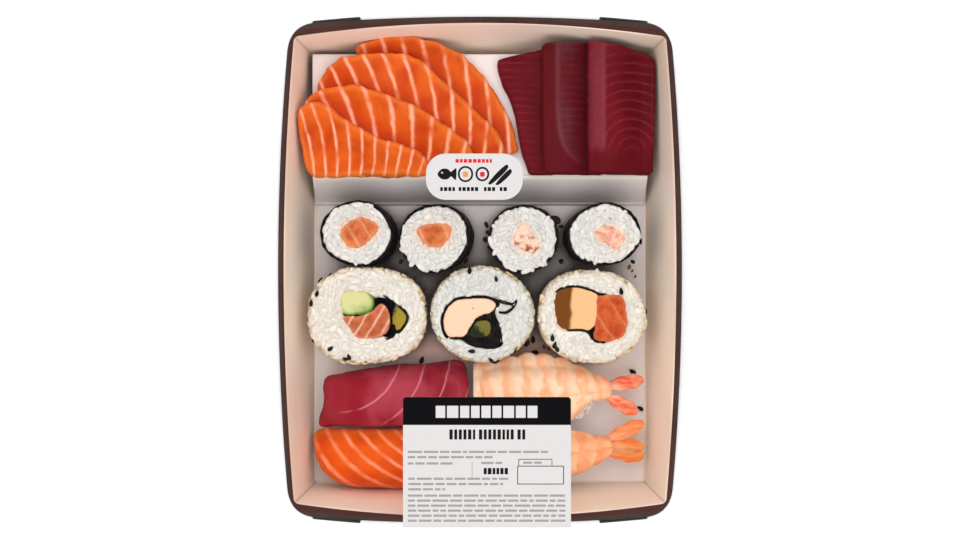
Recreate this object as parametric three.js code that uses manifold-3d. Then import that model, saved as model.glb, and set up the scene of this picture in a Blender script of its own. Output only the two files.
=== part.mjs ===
// A takeaway sushi tray: a folded paperboard tray with a clear lid and two labels, a folded card
// insert with a raised rear platform, sashimi on the platform, and rolls and nigiri on the deck.
// Millimetres, +Z up, +Y towards the platform at the back, origin under the middle of the whole.
import * as THREE from "three";
import { mergeVertices } from "three/addons/utils/BufferGeometryUtils.js";
import Module from "manifold-3d";

const wasm = await Module();
wasm.setup();

// ---------------------------------------------------------------- driving dimensions

const BOARD = 0.8; // thickness of the tray's board and of the insert's card
const GAP = 0.3; // clearance between pieces that touch
const SHEET = 0.35; // thickness of a label
const CLEAR = 0.5; // thickness of the lid
const REST = 0.2; // clearance under a piece that rests on another
const LABEL_LIFT = 0.1; // clearance under a label

const TRAY_HEIGHT = 42.6;
const FLOOR = { midX: 66.6, midY: 85.8, cornerX: 66.6, cornerY: 85.8, cut: 2 };
const OPENING = { midX: 74.5, midY: 93.8, cornerX: 70.6, cornerY: 88.6, cut: 2 };
const LIP = { midX: 76.8, midY: 96.3, cornerX: 72.4, cornerY: 93.4, cut: 10.5 };
const FLANGE_DROP = 10; // how far the lip turns down outside
const TAB = { from: 46, to: 64, proud: 1.9, taper: 0.12, top: 38.6, bottom: 30 };
const LID_SKIRT = 3;
const LID_OVER_LIP = 0.8; // from the lip's outside to the skirt's outside
const SIDE_STEPS = 3; // steps along half of a bowed side
const CORNER_STEPS = 4; // steps round a corner of the tray

const INSERT_UNDER = BOARD + REST;
const DECK_TOP = INSERT_UNDER + BOARD;
const PLATFORM = { top: 18.6, back: 85, front: 36.2, riserFoot: 26.5 };
const DECK_FRONT = -85;
const INSERT_WIDTH = 131.6;

const FOOD_BASE = DECK_TOP + REST;
const ROLL_TOP = 29;
const RICE_BUMP = 0.55; // how far the grains stand out of the rice
const CAVITY_NORI_TOP = ROLL_TOP - 0.9;
const NORI = 0.7; // thickness of the seaweed
const HOLE_GAP = 0.7; // clearance between rice and what it is rolled round
const BASE_TAPER = 0.95; // how much narrower a roll is where it stands
const DRAPE_GAP = 1.3; // clearance between fish slices that lie on each other
const DRAPE_RUN = { from: 6.5, to: 15 }; // how far outside a slice the next one comes down

const TOPPING = 5.5; // thickness of the fish on a nigiri

const BADGE = { x: -2.1, y: 35.4, width: 36.8, depth: 17.6, corner: 7.5 };
const FRONT_LABEL = { x: 2.65, width: 63.7, back: -48.2, drop: 12 };

const COLOURS = {
  board: 0xe6c2b1,
  card: 0xe4dcd8,
  clear: 0xf4f7f8,
  label: 0xebe8e5,
  salmon: 0xe0601f,
  tuna: 0x6b1826,
  nigiriTuna: 0x9c2f3f,
  rice: 0xf1efe6,
  nori: 0x1a1612,
  shrimp: 0xf4b488,
  cucumber: 0xc6dd8d,
  cream: 0xfdd3b5,
  leaf: 0x8a9a24,
  omelette: 0xf4c86a,
};

// ---------------------------------------------------------------- random draws and small sums

// A repeatable run of numbers between -1 and 1.
function drawsFrom(seed) {
  let state = seed * 7919 + 17;
  return () => {
    state = (state * 16807) % 2147483647;
    return (state / 2147483647) * 2 - 1;
  };
}

function smoothStep(low, high, value) {
  return THREE.MathUtils.smoothstep(value, low, high);
}

function middleOf(outline) {
  const middle = new THREE.Vector2();
  for (const point of outline) middle.add(point);
  return middle.divideScalar(outline.length);
}

// ---------------------------------------------------------------- outlines, anticlockwise

// An oval or, with more squareness, a rounded rectangle, made uneven by three slow waves.
function oval({ x, y, width, depth, turn = 0, squareness = 2, uneven = 0, seed = 1 }, steps) {
  const draw = drawsFrom(seed);
  const waves = [2, 3, 5].map((lobes) => ({ lobes, phase: draw() * Math.PI, size: uneven / lobes }));
  const points = [];
  for (let i = 0; i < steps; i++) {
    const angle = (i / steps) * 2 * Math.PI;
    const cos = Math.abs(Math.cos(angle)) ** squareness;
    const sin = Math.abs(Math.sin(angle)) ** squareness;
    let radius = (cos + sin) ** (-1 / squareness);
    for (const wave of waves) radius *= 1 + 2 * wave.size * Math.sin(wave.lobes * angle + wave.phase);
    const point = new THREE.Vector2(
      (width / 2) * radius * Math.cos(angle),
      (depth / 2) * radius * Math.sin(angle),
    );
    point.rotateAround(new THREE.Vector2(), THREE.MathUtils.degToRad(turn));
    points.push(point.add(new THREE.Vector2(x, y)));
  }
  return points;
}

// A smooth closed outline through a few corner points given as [x, y].
function through(corners, steps) {
  const knots = corners.map(([x, y]) => new THREE.Vector3(x, y, 0));
  const curve = new THREE.CatmullRomCurve3(knots, true, "centripetal");
  const points = curve.getSpacedPoints(steps).slice(0, steps);
  const outline = points.map((p) => new THREE.Vector2(p.x, p.y));
  return THREE.ShapeUtils.area(outline) < 0 ? outline.reverse() : outline;
}

// The outline moved outwards by a distance, or inwards by a negative one.
function grown(outline, distance) {
  return outline.map((point, i) => {
    const before = outline[(i + outline.length - 1) % outline.length];
    const after = outline[(i + 1) % outline.length];
    const along = after.clone().sub(before).normalize();
    return new THREE.Vector2(point.x + along.y * distance, point.y - along.x * distance);
  });
}

// The outline's points in evenly spaced directions from a centre inside it.
function byDirection(outline, centre, steps) {
  const points = [];
  for (let i = 0; i < steps; i++) {
    const angle = (i / steps) * 2 * Math.PI;
    const ray = new THREE.Vector2(Math.cos(angle), Math.sin(angle));
    points.push(whereRayLeaves(outline, centre, ray));
  }
  return points;
}

function whereRayLeaves(outline, centre, ray) {
  let reach = 0;
  outline.forEach((start, i) => {
    const end = outline[(i + 1) % outline.length];
    const edge = end.clone().sub(start);
    const offset = start.clone().sub(centre);
    const cross = ray.cross(edge);
    if (Math.abs(cross) < 1e-9) return;
    const along = offset.cross(edge) / cross;
    const share = offset.cross(ray) / cross;
    if (along > 0 && share >= 0 && share <= 1) reach = Math.max(reach, along);
  });
  return centre.clone().addScaledVector(ray, reach);
}

// How far a point lies outside an outline, negative inside.
function distanceOutside(outline, x, y) {
  const point = new THREE.Vector3(x, y, 0);
  const nearest = new THREE.Vector3();
  let least = Infinity;
  let inside = false;
  outline.forEach((start, i) => {
    const end = outline[(i + 1) % outline.length];
    const edge = new THREE.Line3(
      new THREE.Vector3(start.x, start.y, 0),
      new THREE.Vector3(end.x, end.y, 0),
    );
    edge.closestPointToPoint(point, true, nearest);
    least = Math.min(least, nearest.distanceTo(point));
    const crosses = start.y > y !== end.y > y;
    const crossX = start.x + ((end.x - start.x) * (y - start.y)) / (end.y - start.y);
    if (crosses && x < crossX) inside = !inside;
  });
  return inside ? -least : least;
}

// The ring between two outlines of equally many points, a share of the way from the first.
function between(outer, inner, share) {
  return outer.map((point, i) => point.clone().lerp(inner[i], share));
}

// The outline at a height that is a number or a function of the place.
function ringAt(outline, height) {
  const lift = typeof height === "function" ? height : () => height;
  return outline.map((point, i) => new THREE.Vector3(point.x, point.y, lift(point.x, point.y, i)));
}

function shrunk(outline, share) {
  const middle = middleOf(outline);
  return outline.map((point) => middle.clone().lerp(point, share));
}

// ---------------------------------------------------------------- closed bodies

// A closed body through rings of equally many points. Looped rings close on themselves like a
// tyre, and others are shut by a fan at each end.
function skin(rings, { looped = false } = {}) {
  const count = rings[0].length;
  const vertices = rings.flat();
  const faces = [];
  const bands = looped ? rings.length : rings.length - 1;
  for (let band = 0; band < bands; band++) {
    const here = band * count;
    const next = ((band + 1) % rings.length) * count;
    for (let i = 0; i < count; i++) {
      const j = (i + 1) % count;
      faces.push([here + i, here + j, next + j], [here + i, next + j, next + i]);
    }
  }
  if (!looped) {
    addFan(vertices, faces, 0, count, true);
    addFan(vertices, faces, (rings.length - 1) * count, count, false);
  }
  return facingOut(vertices, faces);
}

function addFan(vertices, faces, start, count, reversed) {
  const middle = new THREE.Vector3();
  for (let i = 0; i < count; i++) middle.add(vertices[start + i]);
  const hub = vertices.push(middle.divideScalar(count)) - 1;
  for (let i = 0; i < count; i++) {
    const j = start + ((i + 1) % count);
    faces.push(reversed ? [hub, j, start + i] : [hub, start + i, j]);
  }
}

function facingOut(vertices, faces) {
  let volume = 0;
  for (const [a, b, c] of faces) volume += vertices[a].dot(vertices[b].clone().cross(vertices[c]));
  const wound = volume > 0 ? faces : faces.map(([a, b, c]) => [a, c, b]);
  const geometry = new THREE.BufferGeometry().setFromPoints(vertices);
  geometry.setIndex(wound.flat());
  return geometry;
}

function solidOf(geometry) {
  const bare = geometry.clone();
  bare.deleteAttribute("normal");
  bare.deleteAttribute("uv");
  const merged = mergeVertices(bare, 1e-4);
  const mesh = new wasm.Mesh({
    numProp: 3,
    vertProperties: new Float32Array(merged.attributes.position.array),
    triVerts: new Uint32Array(merged.index.array),
  });
  return new wasm.Manifold(mesh);
}

function geometryOf(solid) {
  const mesh = solid.getMesh();
  const geometry = new THREE.BufferGeometry();
  geometry.setAttribute("position", new THREE.BufferAttribute(mesh.vertProperties, 3));
  geometry.setIndex(new THREE.BufferAttribute(mesh.triVerts, 1));
  return geometry;
}

function fused(first, ...others) {
  let whole = solidOf(first);
  for (const other of others) whole = whole.add(solidOf(other));
  return geometryOf(whole);
}

function cutBy(first, ...others) {
  let rest = solidOf(first);
  for (const other of others) rest = rest.subtract(solidOf(other));
  return geometryOf(rest);
}

// A sheet folded along a path of [y, z] corners and extruded across the tray. The sheet's
// thickness lies to the left of the path.
function foldedSheet(path, thickness, width, x = 0) {
  const corners = path.map(([y, z]) => new THREE.Vector2(y, z));
  const inner = corners.map((corner, i) => {
    const before = i > 0 ? corner.clone().sub(corners[i - 1]).normalize() : null;
    const after = i < corners.length - 1 ? corners[i + 1].clone().sub(corner).normalize() : null;
    const along = (before ?? after).clone().add(after ?? before).normalize();
    const left = new THREE.Vector2(-along.y, along.x);
    const straight = before ?? after;
    const mitre = left.dot(new THREE.Vector2(-straight.y, straight.x));
    return corner.clone().addScaledVector(left, thickness / mitre);
  });
  const profile = new THREE.Shape([...corners, ...inner.reverse()]);
  const sheet = new THREE.ExtrudeGeometry(profile, { depth: width, bevelEnabled: false });
  const turn = new THREE.Matrix4().makeBasis(
    new THREE.Vector3(0, 1, 0),
    new THREE.Vector3(0, 0, 1),
    new THREE.Vector3(1, 0, 0),
  );
  return sheet.applyMatrix4(turn).translate(x - width / 2, 0, 0);
}

// ---------------------------------------------------------------- tray, lid, insert and labels

// One quarter of a tray outline: half of a bowed side, a corner rounded by a quadratic curve and
// half of a bowed end.
function quarterOutline({ midX, midY, cornerX, cornerY, cut }) {
  const sideX = (y) => midX - (midX - cornerX) * (y / cornerY) ** 2;
  const endY = (x) => midY - (midY - cornerY) * (x / cornerX) ** 2;
  const lastY = cornerY - cut;
  const firstX = cornerX - cut;
  const points = [];
  for (let i = 0; i <= SIDE_STEPS; i++) {
    const y = (lastY * i) / SIDE_STEPS;
    points.push(new THREE.Vector2(sideX(y), y));
  }
  const bend = new THREE.QuadraticBezierCurve(
    new THREE.Vector2(sideX(lastY), lastY),
    new THREE.Vector2(cornerX, cornerY),
    new THREE.Vector2(firstX, endY(firstX)),
  );
  points.push(...bend.getPoints(CORNER_STEPS).slice(1, -1));
  for (let i = SIDE_STEPS; i >= 0; i--) {
    const x = (firstX * i) / SIDE_STEPS;
    points.push(new THREE.Vector2(x, endY(x)));
  }
  return points;
}

function trayOutline(sizes) {
  const quarter = quarterOutline(sizes);
  const mirror = (points, sx, sy) => points.map((p) => new THREE.Vector2(p.x * sx, p.y * sy));
  const back = [...quarter].reverse();
  return [
    ...quarter.slice(0, -1),
    ...mirror(back, -1, 1).slice(0, -1),
    ...mirror(quarter, -1, -1).slice(0, -1),
    ...mirror(back, 1, -1).slice(0, -1),
  ];
}

function widened(sizes, distance) {
  return {
    midX: sizes.midX + distance,
    midY: sizes.midY + distance,
    cornerX: sizes.cornerX + distance,
    cornerY: sizes.cornerY + distance,
    cut: sizes.cut + distance,
  };
}

// A board flap glued to the outside of the turned-down lip at one corner.
function cornerTab(side, end) {
  const steps = 4;
  const inner = [];
  const outer = [];
  for (let i = 0; i <= steps; i++) {
    const x = TAB.from + ((TAB.to - TAB.from) * i) / steps;
    const lip = LIP.midY - (LIP.midY - LIP.cornerY) * (x / LIP.cornerX) ** 2;
    inner.push(new THREE.Vector2(side * x, end * (lip - BOARD / 2)));
    outer.push(new THREE.Vector2(side * x, end * (lip + TAB.proud - TAB.taper * i)));
  }
  const outline = [...inner, ...outer.reverse()];
  const tab = new THREE.ExtrudeGeometry(new THREE.Shape(outline), {
    depth: TAB.top - TAB.bottom,
    bevelEnabled: false,
  });
  return tab.translate(0, 0, TAB.bottom);
}

function trayGeometry() {
  const top = TRAY_HEIGHT;
  const under = TRAY_HEIGHT - BOARD;
  const hem = TRAY_HEIGHT - FLANGE_DROP;
  const body = skin([
    ringAt(trayOutline(widened(FLOOR, BOARD)), 0),
    ringAt(trayOutline(widened(OPENING, BOARD)), under),
    ringAt(trayOutline(widened(LIP, -BOARD)), under),
    ringAt(trayOutline(widened(LIP, -BOARD)), hem),
    ringAt(trayOutline(LIP), hem),
    ringAt(trayOutline(LIP), top),
    ringAt(trayOutline(OPENING), top),
    ringAt(trayOutline(FLOOR), BOARD),
  ]);
  const corners = [
    [1, 1],
    [-1, 1],
    [1, -1],
    [-1, -1],
  ];
  return fused(body, ...corners.map(([side, end]) => cornerTab(side, end)));
}

const LID_UNDER = TRAY_HEIGHT + REST;
const LID_TOP = LID_UNDER + CLEAR;

function lidGeometry() {
  const outside = widened(LIP, LID_OVER_LIP);
  const inside = widened(outside, -CLEAR);
  const hem = LID_TOP - LID_SKIRT;
  return skin([
    ringAt(trayOutline(inside), LID_TOP),
    ringAt(trayOutline(outside), LID_TOP - CLEAR),
    ringAt(trayOutline(outside), hem),
    ringAt(trayOutline(inside), hem),
    ringAt(trayOutline(inside), LID_UNDER),
  ]);
}

function insertGeometry() {
  return foldedSheet(
    [
      [PLATFORM.back, INSERT_UNDER],
      [PLATFORM.back, PLATFORM.top],
      [PLATFORM.front, PLATFORM.top],
      [PLATFORM.riserFoot, DECK_TOP],
      [DECK_FRONT, DECK_TOP],
    ],
    BOARD,
    INSERT_WIDTH,
  );
}

function badgeGeometry() {
  const { x, y, width, depth, corner } = BADGE;
  const inX = width / 2 - corner;
  const inY = depth / 2 - corner;
  const shape = new THREE.Shape();
  shape.absarc(inX, inY, corner, 0, Math.PI / 2);
  shape.absarc(-inX, inY, corner, Math.PI / 2, Math.PI);
  shape.absarc(-inX, -inY, corner, Math.PI, 1.5 * Math.PI);
  shape.absarc(inX, -inY, corner, 1.5 * Math.PI, 2 * Math.PI);
  const badge = new THREE.ExtrudeGeometry(shape, {
    depth: SHEET,
    bevelEnabled: false,
    curveSegments: 4,
  });
  return badge.translate(x, y, LID_TOP + LABEL_LIFT);
}

const LABEL_FRONT = -(LIP.midY + LID_OVER_LIP + REST + SHEET);

function frontLabelGeometry() {
  const under = LID_TOP + LABEL_LIFT;
  const { x, width, back, drop } = FRONT_LABEL;
  const path = [
    [LABEL_FRONT, under - drop],
    [LABEL_FRONT, under + SHEET],
    [back, under + SHEET],
  ];
  return foldedSheet(path, -SHEET, width, x);
}

// ---------------------------------------------------------------- slices that drape

// How much of a lower slice's thickness lifts what drapes over it, at a distance outside it.
function lift(distance) {
  return 1 - smoothStep(DRAPE_RUN.from, DRAPE_RUN.to, distance);
}

// The height of the surface that a slice rests on: the platform, the slices below it, and a rise
// where the slice climbs the tray's back and side walls.
function restOn(lower) {
  return (x, y) => {
    let height = PLATFORM.top + REST;
    for (const slice of lower) {
      height += (slice.thickness + DRAPE_GAP) * lift(distanceOutside(slice.outline, x, y));
    }
    const back = 11 * smoothStep(80, 98, y);
    const side = 8 * smoothStep(62, 80, Math.abs(x));
    return height + Math.max(back, side);
  };
}

// A slab of fish with rounded edges on a surface given by its height.
function sliceGeometry({ outline, thickness }, rest) {
  const under = (x, y) => rest(x, y) + REST / 2;
  const over = (share) => (x, y) => rest(x, y) + thickness * share;
  return skin([
    ...[0.3, 0.55, 0.8, 0.97].map((share) => ringAt(shrunk(outline, share), under)),
    ringAt(outline, over(0.5)),
    ringAt(shrunk(outline, 0.96), over(0.93)),
    ringAt(shrunk(outline, 0.7), over(1)),
    ringAt(shrunk(outline, 0.35), over(1)),
  ]);
}

const SLICE_STEPS = 24;

const SALMON_SLICES = [
  {
    thickness: 4.6,
    corners: [
      [-48, 85.4],
      [-39.6, 89.4],
      [-30, 90],
      [-18.6, 88.6],
      [-7, 83.6],
      [2.8, 74],
      [10.2, 61.8],
      [14, 52.6],
      [14.4, 46],
      [6, 46],
      [-14, 58],
      [-40, 72],
    ],
  },
  {
    thickness: 4.6,
    corners: [
      [-63.4, 69.3],
      [-57.6, 80.2],
      [-41.8, 83.4],
      [-25.2, 82],
      [-17, 75.2],
      [-2.9, 62.8],
      [7.8, 52],
      [9, 43],
      [-8, 41],
      [-34, 52],
      [-54, 62],
    ],
  },
  {
    thickness: 4.6,
    corners: [
      [-67.8, 65],
      [-61.4, 69.8],
      [-49.5, 71],
      [-34.4, 67],
      [-24, 62.7],
      [-12, 54.9],
      [-3.1, 47.2],
      [-2, 38.5],
      [-20, 37],
      [-52, 38],
      [-65, 52],
    ],
  },
  {
    thickness: 4.6,
    corners: [
      [-70.2, 60.8],
      [-66.6, 64],
      [-60.4, 64.3],
      [-51.5, 58.1],
      [-38, 50.7],
      [-25.2, 46.5],
      [-19.6, 41.8],
      [-19, 37.2],
      [-42, 36.8],
      [-66.2, 37.1],
      [-69, 48],
    ],
  },
];

const TUNA_SLICES = [
  {
    thickness: 5.8,
    corners: [
      [7, 81.9],
      [6.6, 80.2],
      [7.4, 76],
      [8.5, 72.2],
      [11.3, 67],
      [13.6, 60],
      [15, 51.6],
      [16.4, 44.6],
      [18.9, 37.8],
      [20.4, 36.9],
      [28.4, 37],
      [29.5, 38.2],
      [29.6, 50],
      [29.6, 62],
      [29.6, 74],
      [29.6, 80.5],
      [29.6, 85.4],
      [28.4, 86.7],
      [22, 85.5],
      [14.5, 84],
      [8.6, 82.6],
    ],
  },
  {
    thickness: 5.8,
    corners: [
      [23.9, 86.6],
      [23.6, 85.2],
      [23.6, 80.5],
      [23.6, 74],
      [23.6, 62],
      [23.8, 50],
      [24.4, 38.4],
      [25.6, 37],
      [36, 36.9],
      [39.5, 36.9],
      [43.5, 36.9],
      [47.4, 37],
      [48.6, 38.2],
      [48.6, 50],
      [48.6, 62],
      [48.6, 74],
      [48.6, 80.5],
      [48.6, 86.6],
      [47.4, 88],
      [43.5, 88.1],
      [39.5, 88.1],
      [36, 88],
      [30.5, 87.8],
      [25.2, 87.5],
    ],
  },
  {
    thickness: 5.8,
    corners: [
      [41.5, 87.4],
      [41.3, 86],
      [41.3, 80.5],
      [41.3, 74],
      [41.3, 62],
      [41.3, 50],
      [41.4, 38.2],
      [42.6, 37],
      [48.5, 36.9],
      [54.5, 36.9],
      [58.5, 36.9],
      [62.5, 36.9],
      [66.2, 37],
      [67.5, 38.2],
      [67.9, 50],
      [68.3, 62],
      [68.4, 72],
      [68.2, 81.6],
      [66.8, 83.6],
      [62.5, 84.9],
      [58.5, 86],
      [54.5, 86.9],
      [48.5, 87.8],
      [43, 88.6],
    ],
  },
];

// ---------------------------------------------------------------- rolls

// A level of a roll: its outline moved by the share of the lean that is left at that height.
function leaning(outline, height, lean) {
  const share = (ROLL_TOP - height) / (ROLL_TOP - FOOD_BASE);
  const shift = new THREE.Vector2(lean[0] * share, lean[1] * share);
  return outline.map((point) => point.clone().add(shift));
}

function levelOf(outline, height, lean) {
  return ringAt(leaning(outline, height, lean), height);
}

// Rice round a hole that runs through it, with grain-sized bumps on its top, and on its side too
// where no seaweed covers it.
function riceRing({ outline, hole, lean = [0, 0], seed, sideLevels = 0, tops = [0.12, 0.4, 0.72] }) {
  const draw = drawsFrom(seed);
  const rough = (ring, reach) => {
    const centre = middleOf(ring);
    return ring.map((point) => {
      const out = point.clone().sub(centre).normalize();
      return point.clone().addScaledVector(out, reach * draw());
    });
  };
  const rings = [levelOf(shrunk(outline, BASE_TAPER), FOOD_BASE, lean)];
  for (let level = 1; level <= sideLevels; level++) {
    const share = level / (sideLevels + 1);
    const height = FOOD_BASE + (ROLL_TOP - FOOD_BASE) * share;
    const barrel = BASE_TAPER + (1 - BASE_TAPER) * Math.sin((share * Math.PI) / 2);
    rings.push(levelOf(rough(shrunk(outline, barrel), RICE_BUMP * 0.7), height, lean));
  }
  rings.push(levelOf(shrunk(outline, 0.985), ROLL_TOP - 1.3, lean));
  for (const share of tops) {
    const top = () => ROLL_TOP - 0.35 + RICE_BUMP * draw();
    rings.push(ringAt(between(outline, hole, share), top));
  }
  rings.push(ringAt(hole, ROLL_TOP - 0.6));
  rings.push(levelOf(hole, FOOD_BASE, lean));
  return skin(rings, { looped: true });
}

// A tube of seaweed between two outlines.
function noriTube({ outer, inner, lean = [0, 0], taper = 1, top = ROLL_TOP - 0.5 }) {
  return skin(
    [
      levelOf(shrunk(outer, taper), FOOD_BASE, lean),
      levelOf(outer, top, lean),
      levelOf(inner, top, lean),
      levelOf(shrunk(inner, taper), FOOD_BASE, lean),
    ],
    { looped: true },
  );
}

// A filling that runs through a roll, a little domed where it is cut.
function fillingGeometry(outline, { lean = [0, 0], top = ROLL_TOP - 0.2 } = {}) {
  return skin([
    levelOf(outline, FOOD_BASE, lean),
    levelOf(outline, top - 0.5, lean),
    levelOf(shrunk(outline, 0.82), top, lean),
  ]);
}

const FILLING_STEPS = 16;
const HOSOMAKI_STEPS = 28;
const HOSOMAKI = [
  {
    name: "hosomaki_1",
    roll: { x: -47.9, y: 14.2, width: 28.6, depth: 25, uneven: 0.02, seed: 3 },
    lean: [2, -0.2],
    filling: "salmon",
    corners: [
      [-53.8, 15.1],
      [-50.4, 18.6],
      [-45.7, 20.1],
      [-39.9, 17.4],
      [-42.2, 12.4],
      [-47.3, 8.8],
      [-51.5, 9.9],
    ],
  },
  {
    name: "hosomaki_2",
    roll: { x: -17.9, y: 12.4, width: 27.4, depth: 26.6, uneven: 0.02, seed: 8 },
    lean: [2.6, 0.2],
    filling: "salmon",
    corners: [
      [-24.4, 15.5],
      [-20.5, 17.4],
      [-11.9, 17],
      [-12.8, 11.6],
      [-16.7, 9],
      [-21.3, 10.5],
    ],
  },
  {
    name: "hosomaki_3",
    roll: { x: 16.9, y: 12.2, width: 27.8, depth: 26, uneven: 0.02, seed: 5 },
    lean: [0.5, 0.2],
    filling: "shrimp",
    corners: [
      [13.2, 11.2],
      [16.7, 17.6],
      [19.4, 14.3],
      [22.8, 10.5],
      [20.9, 7],
      [15.5, 8.9],
    ],
  },
  {
    name: "hosomaki_4",
    roll: { x: 48.2, y: 13.8, width: 28.4, depth: 24.6, uneven: 0.02, seed: 9 },
    lean: [-1.4, -0.2],
    filling: "shrimp",
    corners: [
      [45.2, 14.3],
      [47.9, 16.9],
      [52.7, 15.4],
      [55.6, 11.9],
      [53.2, 8.6],
      [48.8, 10.8],
    ],
  },
];

const URAMAKI_STEPS = 30;
const CAVITY_STEPS = 24;
const CAVITY_STEPS_FINE = 60;
const SEED = { length: 3.0, width: 1.9, height: 1.1 };

// Each has the corners of the hole in its rice and of the fillings in that hole. A bunched one has
// seaweed folded up between its fillings.
const URAMAKI = [
  {
    name: "uramaki_1",
    roll: { x: -44, y: -17.7, width: 46.6, depth: 36.8, squareness: 2.35, uneven: 0.015, seed: 21 },
    cavity: [
      [-54.2, -6.9],
      [-43.8, -6.6],
      [-33.3, -12.4],
      [-27.9, -17.8],
      [-30.6, -23.6],
      [-35.3, -26.6],
      [-41.4, -28.5],
      [-47.6, -28],
      [-53, -22.5],
      [-55.8, -16.3],
      [-56.2, -10.5],
    ],
    bunched: false,
    fillings: {
      cucumber: [
        [-53.2, -9],
        [-48, -8.2],
        [-43.4, -8.8],
        [-41.4, -12],
        [-42.6, -15.6],
        [-47.3, -16.9],
        [-53, -16.5],
      ],
      salmon: [
        [-53, -18.4],
        [-47.3, -18.3],
        [-41.6, -16.2],
        [-38.4, -13.4],
        [-35.9, -15.9],
        [-35.4, -21.4],
        [-37, -24.8],
        [-41.8, -26.6],
        [-47.6, -26.2],
        [-51.2, -22.4],
      ],
      leaf: [
        [-32.9, -15.8],
        [-30.6, -16.8],
        [-29.8, -19.2],
        [-31.2, -21.8],
        [-33.4, -20.6],
      ],
    },
    seeds: [24, 133, 158, 168, 205, 221, 246, 318],
  },
  {
    name: "uramaki_2",
    roll: { x: 0.9, y: -17.1, width: 40.2, depth: 37, squareness: 2, uneven: 0.01, seed: 33 },
    cavity: [
      [-13.4, -14.7],
      [-10, -11.4],
      [-3.9, -10.3],
      [3.9, -10.7],
      [7.4, -13],
      [5.6, -16.6],
      [7.6, -22],
      [8.4, -29],
      [2.7, -30.4],
      [-3.9, -28.9],
      [-7.2, -26.8],
      [-12.8, -26.4],
      [-15, -20.1],
    ],
    bunched: true,
    fillings: {
      cream: [
        [-12.4, -15.5],
        [-9.3, -12.5],
        [-3.9, -11.4],
        [3.4, -11.8],
        [5.6, -13.4],
        [3.2, -16],
        [-1.6, -18.4],
        [-6.4, -24.6],
        [-12, -24.9],
        [-13.4, -20.1],
      ],
      leaf: [
        [-0.4, -20.2],
        [3.2, -20.4],
        [3.5, -24.2],
        [0, -26],
        [-3.8, -25],
      ],
    },
    seeds: [52, 100, 126, 205, 248, 274, 322],
  },
  {
    name: "uramaki_3",
    roll: { x: 43.4, y: -18, width: 41.6, depth: 36.4, squareness: 2.1, uneven: 0.015, seed: 47 },
    cavity: [
      [29.8, -8],
      [36.8, -6.2],
      [43.4, -7.8],
      [46.5, -9.2],
      [55.2, -9.7],
      [57.2, -16.3],
      [57.2, -23.4],
      [53.9, -27.3],
      [44.7, -27.7],
      [41.2, -23.9],
      [31, -22.7],
      [28.5, -15.5],
    ],
    bunched: false,
    fillings: {
      omelette: [
        [31.4, -9.4],
        [36.8, -8],
        [44.2, -10.2],
        [43.8, -21.4],
        [37.5, -21.2],
        [32.4, -20.6],
        [30.3, -16.3],
      ],
      salmon: [
        [46.2, -10.9],
        [53.3, -11.1],
        [55.4, -14.6],
        [55.6, -23],
        [52.7, -25.9],
        [46, -26.2],
        [44.9, -22],
        [45.3, -16.4],
      ],
    },
    seeds: [22, 66, 202, 225, 238, 284, 345],
  },
];

function seedGeometry(place, angle, tilt) {
  const seed = new THREE.OctahedronGeometry(0.5, 1);
  seed.scale(SEED.length, SEED.height, SEED.width);
  seed.rotateY(tilt);
  seed.rotateZ(angle + Math.PI / 2);
  return seed.translate(place.x, place.y, place.z);
}

// Sesame seeds pressed into the side of a roll near its cut face, one at each angle in degrees.
function seedsOn(outline, angles, seed) {
  const draw = drawsFrom(seed);
  const centre = middleOf(outline);
  return angles.map((degrees, i) => {
    const angle = THREE.MathUtils.degToRad(degrees);
    const ray = new THREE.Vector2(Math.cos(angle), Math.sin(angle));
    const edge = whereRayLeaves(shrunk(outline, 0.975), centre, ray);
    const height = ROLL_TOP - 2.4 - (i % 3) * 2 + 0.4 * draw();
    return seedGeometry(new THREE.Vector3(edge.x, edge.y, height), angle, draw());
  });
}

function addHosomaki(spec) {
  const outer = oval(spec.roll, HOSOMAKI_STEPS);
  const centre = middleOf(outer);
  const filling = through(spec.corners, FILLING_STEPS);
  const hole = byDirection(grown(filling, HOLE_GAP), middleOf(filling), HOSOMAKI_STEPS);
  const rice = byDirection(grown(outer, -NORI - REST), centre, HOSOMAKI_STEPS);
  const { lean } = spec;
  const seed = spec.roll.seed;
  const inner = grown(outer, -NORI);
  add(`${spec.name}_nori`, noriTube({ outer, inner, lean, taper: BASE_TAPER }), "nori");
  add(`${spec.name}_rice`, riceRing({ outline: rice, hole, lean, seed }), "rice");
  add(`${spec.name}_${spec.filling}`, fillingGeometry(filling, { lean }), spec.filling);
}

function uramakiRice({ roll, cavity, seeds }) {
  const whole = oval(roll, URAMAKI_STEPS);
  const hollow = through(cavity, CAVITY_STEPS_FINE);
  const hole = byDirection(grown(hollow, HOLE_GAP), middleOf(hollow), URAMAKI_STEPS);
  const rice = riceRing({ outline: whole, hole, seed: roll.seed, sideLevels: 2 });
  return fused(rice, ...seedsOn(whole, seeds, roll.seed));
}

function cavityNori(cavity) {
  const hollow = through(cavity, CAVITY_STEPS);
  return noriTube({ outer: hollow, inner: grown(hollow, -NORI), top: CAVITY_NORI_TOP });
}

// Seaweed that fills a cavity round its fillings, where the sheet is bunched up.
function bunchedNori(cavity, fillings) {
  const full = through(cavity, CAVITY_STEPS);
  const block = skin([ringAt(full, FOOD_BASE), ringAt(full, CAVITY_NORI_TOP)]);
  const pockets = fillings.map((corners) => {
    const pocket = grown(through(corners, FILLING_STEPS), GAP);
    return skin([ringAt(pocket, FOOD_BASE - 1), ringAt(pocket, CAVITY_NORI_TOP + 1)]);
  });
  return cutBy(block, ...pockets);
}

// ---------------------------------------------------------------- nigiri

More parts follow.
